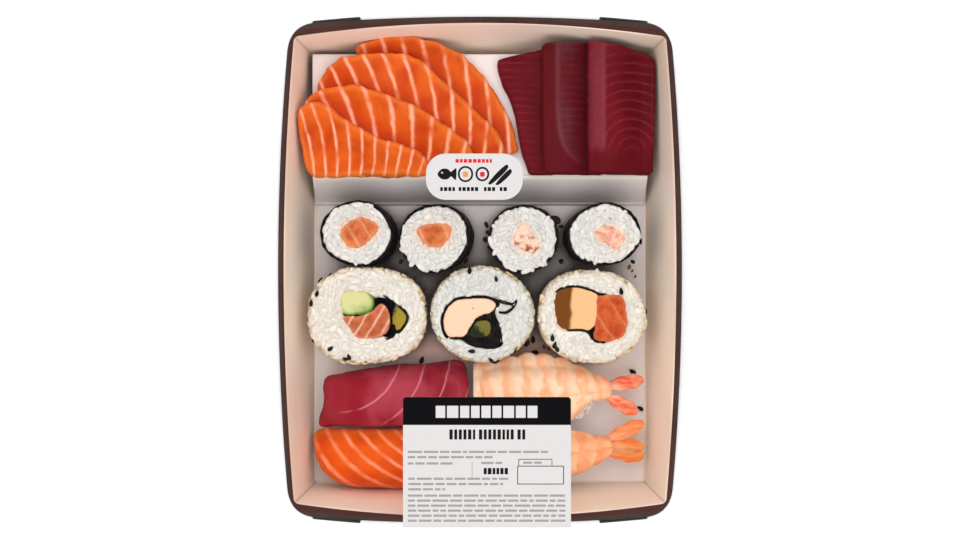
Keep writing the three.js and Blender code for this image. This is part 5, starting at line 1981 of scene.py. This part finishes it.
    def build(self) -> None:
        """Makes the rice with its seeds, the lining and the fillings."""
        seed = self.shape.seed * 17
        rng = np.random.default_rng(seed)
        hollow = Loop(self.cavity).outline(150)
        middle = hollow.mean(axis=0)
        hole = by_direction(grown(hollow, 0.35), middle, self.angles)
        rice = by_direction(self.shape.outline(len(self.angles)), middle, self.angles)
        side = FOOD_BASE + 1.4, ROLL_TOP - 1.2
        column = joined([self.core(rice, hole, 1.0, seed, self.barrel),
                         grains_on_top(rice, hole, ROLL_TOP, seed + 1),
                         grains_on_side(rice, *side, 1.0, seed + 2, self.barrel)])
        outside = distance_outside(rice, column.vertices[:, :2])
        # Tan towards the rice's outer edge.
        column.marked(stain=smooth_step(-2.2, -0.6, outside) * 0.48)
        if self.ledge:
            column = joined([column, self.lip(hollow, seed)])
        placed(f"{self.name}_grains", column, self.rice, f"{self.name}_rice")
        pale = np.column_stack([rng.uniform(0, 360, self.pale_count),
                                SIDE_FROM + rng.uniform(0.0, 0.22, self.pale_count) ** 1.4])
        black = np.column_stack([rng.uniform(0, 360, self.black_count),
                                 rng.uniform(1.02, 1.2, self.black_count)])
        black = np.vstack([np.array(self.black, float), black])
        pale, black = self.seeds(rice, pale, seed + 3), self.seeds(rice, black, seed + 4)
        placed(f"{self.name}_pale_seeds", pale, "pale_sesame")
        placed(f"{self.name}_black_seeds", black, "black_sesame")
        lining = self.lining(hollow, seed + 5)
        placed(f"{self.name}_lining", lining, "nori", f"{self.name}_nori")
        for i, cut in enumerate(self.fillings):
            self.fill(cut, seed + 10 + i, hollow, ROLL_TOP - 0.3)


def thin_rolls() -> list[ThinRoll]:
    """The row of thin rolls.

    Returns:
        The rolls from left to right.
    """
    salmon, uneven = ("thin_salmon", "salmon"), 0.02
    return [
        ThinRoll("hosomaki_1", Oval(-47.9, 14.2, 28.6, 25, uneven=uneven, seed=3), (2, -0.2),
                 Cut("hosomaki_1_salmon", *salmon,
                     [(-53.8, 15.1), (-50.4, 18.6), (-45.7, 20.1), (-39.9, 17.4), (-42.2, 12.4),
                      (-47.3, 8.8), (-51.5, 9.9)], lines=(0.16, 0.1), lumps=0.3),
                 [(-62, 38, 0.45)]),
        ThinRoll("hosomaki_2", Oval(-17.9, 12.4, 27.4, 26.6, uneven=uneven, seed=8), (2.6, 0.2),
                 Cut("hosomaki_2_salmon", *salmon,
                     [(-24.4, 15.5), (-20.5, 17.4), (-11.9, 17), (-12.8, 11.6), (-16.7, 9),
                      (-21.3, 10.5)], lines=(0.1, 0.05), lumps=0.3),
                 [(205, 62, 1.0), (-70, 44, 0.9), (150, 24, 0.6)]),
        ThinRoll("hosomaki_3", Oval(16.9, 12.2, 27.8, 26, uneven=uneven, seed=5), (0.5, 0.2),
                 # Brown spots of painted shade on the shrimp.
                 Cut("hosomaki_3_shrimp", "shrimp_filling", "shrimp",
                     [(13.2, 11.2), (16.7, 17.6), (19.4, 14.3), (22.8, 10.5), (20.9, 7),
                      (15.5, 8.9)], side=(0.0, -0.12), base=0.475, lumps=0.45),
                 [(176, 40, 0.8), (-84, 74, 1.0), (12, 24, 0.8)]),
        ThinRoll("hosomaki_4", Oval(48.2, 13.8, 28.4, 24.6, uneven=uneven, seed=9), (-1.4, -0.2),
                 Cut("hosomaki_4_shrimp", "pink_filling", "shrimp",
                     [(45.2, 14.3), (47.9, 16.9), (52.7, 15.4), (55.6, 11.9), (53.2, 8.6),
                      (48.8, 10.8)], base=0.5, lumps=0.35),
                 [(-88, 40, 0.85), (-15, 25, 0.6)]),
    ]


def big_rolls() -> list[BigRoll]:
    """The row of big rolls.

    Returns:
        The rolls from left to right.
    """
    return [
        BigRoll(
            "uramaki_1", Oval(-44, -17.7, 46.6, 36.8, 2.35, 0.015, 21), (0, 0), "warm_rice",
            [(-54.2, -6.9), (-43.8, -6.6), (-33.3, -12.4), (-27.9, -17.8), (-30.6, -23.6),
             (-35.3, -26.6), (-41.4, -28.5), (-47.6, -28), (-53, -22.5), (-55.8, -16.3),
             (-56.2, -10.5)],
            [Cut("uramaki_1_cucumber", "cucumber", "cucumber",
                 [(-53.2, -9), (-48, -8.2), (-43.4, -8.8), (-41.4, -12), (-42.6, -15.6),
                  (-47.3, -16.9), (-53, -16.5)], side=(0.32, -0.38), base=0.14, skin=0.5,
                 lining=9, lumps=0.05),
             Cut("uramaki_1_salmon", "roll_salmon", "salmon",
                 [(-53, -18.4), (-47.3, -18.3), (-41.6, -16.2), (-38.4, -13.4), (-35.9, -15.9),
                  (-35.4, -21.4), (-37, -24.8), (-41.8, -26.6), (-47.6, -26.2), (-51.2, -22.4)],
                 lines=(0.2, -0.12), lining=9),
             Cut("uramaki_1_leaf", "pale_leaf", "leaf",
                 [(-32.9, -15.8), (-30.6, -16.8), (-29.8, -19.2), (-31.2, -21.8), (-33.4, -20.6)],
                 side=(-0.4, 0.2), base=0.3, lining=0.5)],
            [(157, 0.93), (168, 0.965), (205, 0.975), (222, 0.86), (246, 0.88), (243, 0.93),
             (9, 0.98), (26, 0.99), (344, 1.0), (134, 0.99), (318, 1.02)],
            hidden=[(180, 136)], ledge=2.6),
        BigRoll(
            "uramaki_2", Oval(0.9, -17.1, 40.2, 37, uneven=0.01, seed=33), (0, 0), "cool_rice",
            [(-13.4, -14.7), (-10, -11.4), (-3.9, -10.3), (3.9, -10.7), (7.4, -13), (5.6, -16.6),
             (7.6, -22), (8.4, -29), (2.7, -30.4), (-3.9, -28.9), (-7.2, -26.8), (-12.8, -26.4),
             (-15, -20.1)],
            [Cut("uramaki_2_cream", "cream", "cream",
                 [(-12.4, -15.5), (-9.3, -12.5), (-3.9, -11.4), (3.4, -11.8), (5.6, -13.4),
                  (3.2, -16), (-1.6, -18.4), (-6.4, -24.6), (-12, -24.9), (-13.4, -20.1)],
                 lining=0.7, lumps=0.12),
             Cut("uramaki_2_leaf", "leaf", "leaf",
                 [(-0.4, -20.2), (3.2, -20.4), (3.5, -24.2), (0, -26), (-3.8, -25)],
                 side=(-0.5, -0.5), base=0.5, lining=0.7)],
            [(100, 0.95), (65, 0.81), (259, 0.78), (287, 0.965), (318, 0.98), (325, 0.99),
             (155, 0.99), (190, 1.0)],
            swirl=[(4.6, -11.2), (9, -12.1), (12.7, -13), (14.2, -11.8), (13.3, -14.2),
                   (10.3, -16.7), (7.2, -16.3), (10.1, -16.2), (12.9, -13.9), (9, -12.9)]),
        BigRoll(
            "uramaki_3", Oval(43.4, -18, 41.6, 36.4, 2.1, 0.015, 47), (0, 0), "warm_rice",
            [(29.8, -8), (36.8, -6.2), (43.4, -7.8), (46.5, -9.2), (55.2, -9.7), (57.2, -16.3),
             (57.2, -23.4), (53.9, -27.3), (44.7, -27.7), (41.2, -23.9), (31, -22.7),
             (28.5, -15.5)],
            # The omelette's dark left side is painted shade.
            [Cut("uramaki_3_omelette", "omelette", "omelette",
                 [(31.4, -9.4), (36.8, -8), (44.2, -10.2), (43.8, -21.4), (37.5, -21.2),
                  (32.4, -20.6), (30.3, -16.3)], side=(-1.0, 0.12), base=0.36, lining=0.3,
                 lumps=0.08),
             Cut("uramaki_3_salmon", "deep_salmon", "salmon",
                 [(46.2, -10.9), (53.3, -11.1), (55.4, -14.6), (55.6, -23), (52.7, -25.9),
                  (46, -26.2), (44.9, -22), (45.3, -16.4)], lines=(0.12, 0.08), lining=0.4)],
            [(39, 0.76), (210, 0.86), (219, 0.92), (224, 0.95), (229, 1.0), (4, 0.98), (300, 1.0)],
            hidden=[(-5, 66), (182, 38)], ledge=1.1),
    ]


# ---- nigiri


@dataclass(frozen=True)
class Mound:
    """A pressed block of rice: its middle, its depth, and how its top rounds off."""

    x: float
    y: float
    depth: float
    width: float = 49.0
    height: float = 19.0
    squareness: float = 2.8
    round_off: float = 0.3
    overhang: float = 1.35
    flanks: Spots = ((0, 0.93), (2, 0.955), (4, 0.97), (6, 0.97), (8.5, 0.96),
                              (10.5, 0.94))  # heights and shares of the outline

    def top(self, points: Array) -> Array:
        """The top's height: the block's, less a share that grows as the cube of the distance from
        the middle over the block's reach, which hangs down past its edge.

        Args:
            points: places in mm.

        Returns:
            A height for each place.
        """
        across = np.abs((points[:, 0] - self.x) / (self.width / 2)) ** 3
        along = np.abs((points[:, 1] - self.y) / (self.depth / 2)) ** 3
        reach = np.minimum((across + along) ** (1 / 3), self.overhang)
        return FOOD_BASE + self.height * (1 - self.round_off * reach**3)

    @staticmethod
    def taper(height: Array) -> Array:
        """Sides that draw in above the block's waist."""
        return 0.965 - 0.10 * smooth_step(8, 15, height - FOOD_BASE)

    def surface(self, seed: int) -> Surface:
        """The core of the block with grains round its sides and over its shoulders.

        Args:
            seed: for the draws.

        Returns:
            The rice.
        """
        outline = Oval(self.x, self.y, self.width - 1.6, self.depth - 1.6, self.squareness)
        outline = outline.outline(90)
        rings = []
        for height, share in self.flanks:
            ring = at_height(shrunk(outline, share), FOOD_BASE + height)
            ring[:, :2] = grown(ring[:, :2], 0.3 * ripple(ring, 3.2, seed))
            rings.append(ring)
        for share in np.linspace(0.92, 0.04, 10):
            ring = shrunk(outline, share)
            rings.append(at_height(ring, self.top(ring) - 2.2 + 0.25 * ripple(ring, 3, seed + 1)))
        low, high = FOOD_BASE + 1.4, FOOD_BASE + 11.2
        side = grains_on_side(outline, low, high, -0.1, seed + 2, self.taper)
        return joined([loft(rings).marked(tint=0.4), side])


@dataclass
class Nigiri:
    """What fish nigiri and shrimp nigiri have in common: a block of rice under a topping."""

    name: str
    mound: Mound
    seed: int
    finish: str

    def lay_rice(self) -> None:
        """Makes the block's piece."""
        rice = self.mound.surface(self.seed)
        placed(f"{self.name}_grains", rice, "rice", f"{self.name}_rice")


@dataclass
class FishNigiri(Nigiri):
    """A block of rice with a slice of fish over it."""

    slot: str
    corners: Spots

    def marks(self, places: Array) -> dict[str, Array]:
        """The numbers that place the fish's lines: curves that fall from the upper left to the
        lower right on salmon, and arcs round a point at the upper left on tuna, whose left end also
        gets painted shade.

        Args:
            places: the slice's vertices in mm.

        Returns:
            The numbers by mark.
        """
        x, y = places[:, 0], places[:, 1]
        if self.slot == "salmon":
            right, up = x + 65, y + 74
            return {"vein": (right + (0.62 + 0.028 * right) * up) / 8.9 - 0.4, "shade": 0 * x}
        reach = np.hypot(x + 55.4, y + 31.1)
        # Painted shade towards the tuna's left end.
        return {"arc": (reach - 24.5) / 9.6, "shade": 0.75 * (1 - smooth_step(-61, -40, x)),
                "lined": smooth_step(19, 22, reach) * smooth_step(-58, -52, x)}

    def build(self) -> None:
        """Makes the rice and the slice."""
        self.lay_rice()
        top = self.mound.top
        fish = FishSlice(Loop(self.corners), TOPPING, top, top, self.seed + 5, 1.5, 0.35).surface()
        fish.marked(**self.marks(fish.vertices))
        placed(f"{self.name}_topping", fish, self.finish, f"{self.name}_slice")


@dataclass
class ShrimpNigiri(Nigiri):
    """A block of rice with an opened shrimp over it, segmented across and creased along. The
    front half narrows between two shares of the length by a third share, and each fin runs from
    a root to a tip."""

    tail: Spot
    head_x: float
    half: float
    narrowing: tuple[float, float, float]
    fins: Sequence[tuple[Spot, Spot]]
    bulge: float = 0.0
    pitch: float = 7.4
    rings: int = 150
    columns: int = 22

    def body(self) -> Surface:
        """Rings across the body from head to tail: over the top as 1 - t⁴ with the middle creased,
        and back underneath. Its middle line drifts by the square of the share of its length, and
        its back half bulges by a bell curve.

        Returns:
            The body, with the mark "band" on its segments.
        """
        share = np.linspace(0, 1, self.rings)[:, None]
        t = np.linspace(-1, 1, 2 * self.columns + 1)[None]
        x = self.head_x + (self.tail[0] - self.head_x) * share
        middle = self.mound.y + (self.tail[1] - self.mound.y) * share**2
        head = np.sqrt(smooth_step(-0.1, 0.04, share))
        swell = 1 + self.bulge * bell(share, 0.43, 0.21)
        back = head * swell * (1 - 0.7 * smooth_step(0.62, 1.1, share))
        start, end, by = self.narrowing
        front = head * (1 - by * smooth_step(start, end, share))
        lobe = 1 - (2 * ((x / self.pitch) % 1) - 1) ** 2
        width = self.half * np.where(t < 0, front, back) * (0.94 + 0.08 * lobe)
        grid_x = x + 1.6 * (1 - t**2) * smooth_step(0.03, 0.25, share)
        grid_y = middle + width * t
        flat = np.stack([grid_x, grid_y], axis=-1).reshape(-1, 2)
        rest = self.mound.top(flat).reshape(grid_x.shape)
        crease = 0.5 * bell(t * self.half, 0, 0.7)
        uneven = 0.3 * ripple(flat, 4.5, self.seed).reshape(grid_x.shape)
        thick = TOPPING - 2.2 + 0.55 * (lobe - 0.5) + uneven - crease
        over = np.maximum(rest, FOOD_BASE + 12) + 1.2 + thick * (1 - np.abs(t) ** 4)
        under = np.minimum(rest + 0.1, over - 0.4)
        top, under = (np.stack([grid_x, grid_y, z], axis=-1) for z in (over, under))
        rings = np.concatenate([top, under[:, 1:-1][:, ::-1]], axis=1)
        blur = 0.12 * ripple(flat, 6, self.seed + 1).reshape(grid_x.shape)
        band = 1 - smooth_step(0.1, 0.62, np.abs((x / self.pitch + blur) % 1 - 0.15))
        seam = smooth_step(0.45, 0.8, share) * bell(t * self.half, 0, 0.6)
        marks = np.zeros(rings.shape[:2])
        marks[:, : t.size] = np.clip(band * 0.9 + seam + 0.25 * smooth_step(0.55, 0.9, share), 0, 1)
        tail = np.broadcast_to(smooth_step(0.94, 1.0, share) * 0.4, marks.shape)
        ends = [0.0, 0.0]
        return loft(rings).marked(band=np.concatenate([marks.ravel(), ends]),
                                  tail=np.concatenate([tail.ravel(), ends]))

    def fin(self, start: Spot, end: Spot, seed: int) -> Surface:
        """A tail fin: a lobe that is flat, widest past its middle and ribbed along its length.

        Args:
            start: where it leaves the tail.
            end: its tip.
            seed: for the draws.

        Returns:
            The fin.
        """
        base, tip = np.array(start), np.array(end)
        length = float(np.linalg.norm(tip - base))
        along = (tip - base) / length
        across = np.array([-along[1], along[0]])
        share = np.linspace(0.02, 0.98, 34)
        t = np.linspace(0, 2 * math.pi, 24, endpoint=False)
        half_width = 2.7 * np.sqrt(np.clip(np.sin(share**1.8 * math.pi), 0, 1))
        half_width = half_width + 0.5 * (1 - share) + 0.1
        half_height = 1.3 * np.sqrt(1 - (2 * share - 1) ** 2) * (1 - 0.45 * share)
        ribs = 1 + 0.3 * np.cos(t * 7) * smooth_step(0.2, 0.6, share)[:, None]
        offset = half_width[:, None] * np.cos(t) * (1 + 0.08 * np.sin(share * 19 + seed))[:, None]
        place = base + along * (share * length)[:, None]
        level = self.mound.top(np.array([self.tail]))[0] + 1.5
        z = level + half_height[:, None] * np.sin(t) * ribs + 0.1 * ripple(place, 5, seed)[:, None]
        rings = np.concatenate([place[:, None] + offset[..., None] * across, z[..., None]], axis=-1)
        edge = 0.5 + 0.5 * np.cos(t) * np.sign(across[1] * along[1] + 0.01)
        tail = smooth_step(0.1, 0.75, share[:, None] + 0.35 * edge - 0.1 * np.cos(t * 7)).ravel()
        return loft(rings).marked(band=0.35, tail=np.concatenate([tail, [0.2, 1.0]]))

    def build(self) -> None:
        """Makes the rice and the shrimp."""
        self.lay_rice()
        fins = [self.fin(start, end, self.seed + i) for i, (start, end) in enumerate(self.fins)]
        shrimp = joined([self.body(), *fins])
        placed(f"{self.name}_shrimp", shrimp, self.finish, f"{self.name}_body")


def nigiri() -> list[FishNigiri | ShrimpNigiri]:
    """The nigiri in front of the rolls.

    Returns:
        Two with fish and two with shrimp.
    """
    return [
        FishNigiri("nigiri_tuna", Mound(-33, -50.2, 21.5), 600, "nigiri_tuna", "nigiri_tuna",
                   [(-61.2, -42.9), (-53.4, -40.4), (-43.2, -38.6), (-32, -37.2), (-21, -37),
                    (-10.6, -35.8), (-6.6, -36.6), (-4.8, -41.9), (-4.2, -49.5), (-5, -57.6),
                    (-12, -61), (-34, -61.5), (-54, -61.9), (-64, -61.6), (-61.8, -53)]),
        FishNigiri("nigiri_salmon", Mound(-35, -73.4, 19.5), 620, "nigiri_salmon", "salmon",
                   [(-65.2, -64), (-54.4, -62.8), (-31.1, -62.4), (-18, -62.4), (-8, -63.2),
                    (-4.6, -73.8), (-8.4, -84.4), (-40.8, -86.6), (-54.4, -85.2), (-62, -79.2),
                    (-65.4, -71.9)]),
        ShrimpNigiri("nigiri_shrimp_1", Mound(22, -49.6, 22), 640, "shrimp_red_tail",
                     (50, -47.6), -2.6, 13.4, (0.66, 0.9, 0.72),
                     [((47.5, -46.4), (64.9, -43.2)), ((47.5, -48.6), (62.6, -56.6))], 0.23),
        ShrimpNigiri("nigiri_shrimp_2", Mound(22, -73.6, 18), 660, "shrimp_gold_tail",
                     (50.6, -69.8), -2.2, 9.6, (0.7, 1.1, 0.6),
                     [((48, -68.2), (65.2, -60.2)), ((48, -70), (65.2, -69.8)),
                      ((48, -71.6), (65, -74))]),
    ]


# ---- loose bits


@dataclass(frozen=True)
class LooseBits:
    """Seeds, crumbs and scraps of seaweed that lie on the card and in the gaps, each given by its
    place in mm, and a scrap by its length too."""

    seeds: Sequence[tuple[float, ...]] = (
        (61.3, -40.9, 2.6), (64.4, -55.6, 2.6), (21.3, -27.9, 2.6), (18.8, -29.2, 9.0),
        (6.0, -36.2, 16.0), (-23.2, -35.9, 8.0), (-64.0, -4.5, 2.6), (62.5, 12.0, 14.0),
        (62.0, 9.4, 10.0), (22.0, -33.0, 2.6))
    crumbs: Sequence[tuple[float, ...]] = (
        (25.7, -30.8, 2.4), (61.2, -0.4, 2.4), (62.4, -2.6, 2.4), (60.0, 1.2, 2.4),
        (27.9, -31.6, 2.4))
    scraps: Sequence[tuple[float, ...]] = (
        (2.5, 17.6, 26.0, 2.6), (3.0, 14.6, 26.5, 2.0), (2.2, 11.8, 25.6, 2.4),
        (3.8, 8.9, 26.4, 2.2), (6.4, 4.6, 26.8, 1.8), (29.3, 19.4, 27.4, 4.6),
        (31.6, 16.9, 26.0, 2.6), (31.6, 3.4, 26.2, 2.4), (59.4, 3.2, 26.4, 2.4),
        (62.6, 11.0, 25.0, 2.2), (-5.4, 3.6, 26.6, 2.6), (-30.8, 3.2, 26.6, 2.0))

    def strewn(self, spots: Array, sizes: Array, tilt: float, seed: int, point: float) -> Surface:
        """Small shapes lying at given places, turned at random.

        Args:
            spots: the places in mm.
            sizes: the length, width and height of each in mm.
            tilt: how far they lean out of level.
            seed: for the draws.
            point: how much each narrows to one end.

        Returns:
            The shapes.
        """
        rng = np.random.default_rng(seed)
        count = len(spots)
        turn = rng.uniform(0, math.pi, count)
        lie = np.column_stack([np.cos(turn), np.sin(turn), rng.normal(0, tilt, count)])
        facing = np.column_stack([rng.normal(0, tilt, (count, 2)), np.ones(count)])
        return scattered(pebble(8, 5, point), spots, lie, facing, sizes)

    def build(self) -> None:
        """Makes the loose pieces."""
        seeds, crumbs, scraps = (np.array(bits) for bits in (self.seeds, self.crumbs, self.scraps))
        rng = np.random.default_rng(9)
        sizes = np.array([3.1, 1.9, 1.1]) * rng.uniform(0.9, 1.1, (len(seeds), 1))
        placed("loose_seeds", self.strewn(seeds, sizes, 0.1, 5, 0.45), "black_sesame")
        sizes = np.array([1.9, 1.3, 0.8]) * rng.uniform(0.7, 1.2, (len(crumbs), 1))
        placed("loose_crumbs", self.strewn(crumbs, sizes, 0.2, 6, 0.2), "brown_crumb")
        sizes = scraps[:, 3:] * rng.uniform([0.9, 0.5, 0.12], [1.1, 0.9, 0.2], (len(scraps), 3))
        placed("loose_scraps", self.strewn(scraps[:, :3], sizes, 0.3, 7, 0.0), "nori")


# ---- floor, lights and camera


@dataclass(frozen=True)
class Lamp:
    """A square soft light that points at the origin: its place and side in metres, and its
    power in watts."""

    name: str
    place: Light
    side: float
    power: float

    def hang(self) -> None:
        """Adds the lamp, turned so that its -Z runs from its place to the origin."""
        lamp = bpy.data.lights.new(self.name, "AREA")
        lamp.size, lamp.energy = self.side, self.power
        hung = bpy.data.objects.new(self.name, lamp)
        x, y, z = hung.location = self.place
        hung.rotation_euler = (math.atan2(math.hypot(x, y), z), 0.0, math.atan2(x, -y))
        bpy.context.scene.collection.objects.link(hung)


@dataclass(frozen=True)
class Studio:
    """The pale floor, the soft lights and the camera, which looks straight down."""

    floor_reach: float = 1.6
    sky: Light = (1.0, 0.99, 0.98)
    sky_strength: float = 0.6
    sensor: float = 36.0
    eye_height: float = 700.0  # in mm above the rim
    view_width: float = 960 * 0.38  # in mm at the rim
    lamps: Sequence[Lamp] = (Lamp("front", (0.0, -0.6, 1.0), 0.9, 3.9),
                             Lamp("back", (-0.1, 0.6, 1.05), 0.8, 4.2),
                             Lamp("left", (-0.6, 0.05, 1.05), 0.8, 2.2),
                             Lamp("right", (0.6, 0.0, 1.05), 0.8, 2.4))

    def build(self) -> None:
        """Adds all of it and sets how colours are shown."""
        scene = bpy.context.scene
        mesh = bpy.data.meshes.new("floor")
        r = self.floor_reach
        mesh.from_pydata([(-r, -r, 0), (r, -r, 0), (r, r, 0), (-r, r, 0)], [], [(0, 1, 2, 3)])
        mesh.materials.append(MATERIALS["floor"])
        floor = bpy.data.objects.new("floor", mesh)
        scene.collection.objects.link(floor)
        world = bpy.data.worlds.new("studio")
        world.use_nodes = True
        sky = world.node_tree.nodes["Background"].inputs
        sky["Color"].default_value = (*self.sky, 1.0)
        sky["Strength"].default_value = self.sky_strength
        scene.world = world
        for lamp in self.lamps:
            lamp.hang()
        camera = bpy.data.cameras.new("camera")
        camera.sensor_width = self.sensor
        camera.lens = self.sensor * self.eye_height / self.view_width
        eye = bpy.data.objects.new("camera", camera)
        eye.location = (0.0, SHIFT_Y * MM, (TRAY_HEIGHT + self.eye_height) * MM)
        scene.collection.objects.link(eye)
        scene.camera = eye
        scene.view_settings.view_transform = "Standard"
        scene.view_settings.look = "None"


def main() -> None:
    """Builds the whole in order."""
    logging.basicConfig(level=logging.INFO, format="%(name)s %(message)s")
    for finish in FINISHES:
        finish.make()
    rolls = [*thin_rolls(), *big_rolls()]
    for part in (Tray(), Insert([roll.shape for roll in rolls]), Lid(), Badge(), FrontLabel(),
                 Sashimi(), *rolls, *nigiri(), LooseBits(), Studio()):
        part.build()


if __name__ == "__main__":
    main()
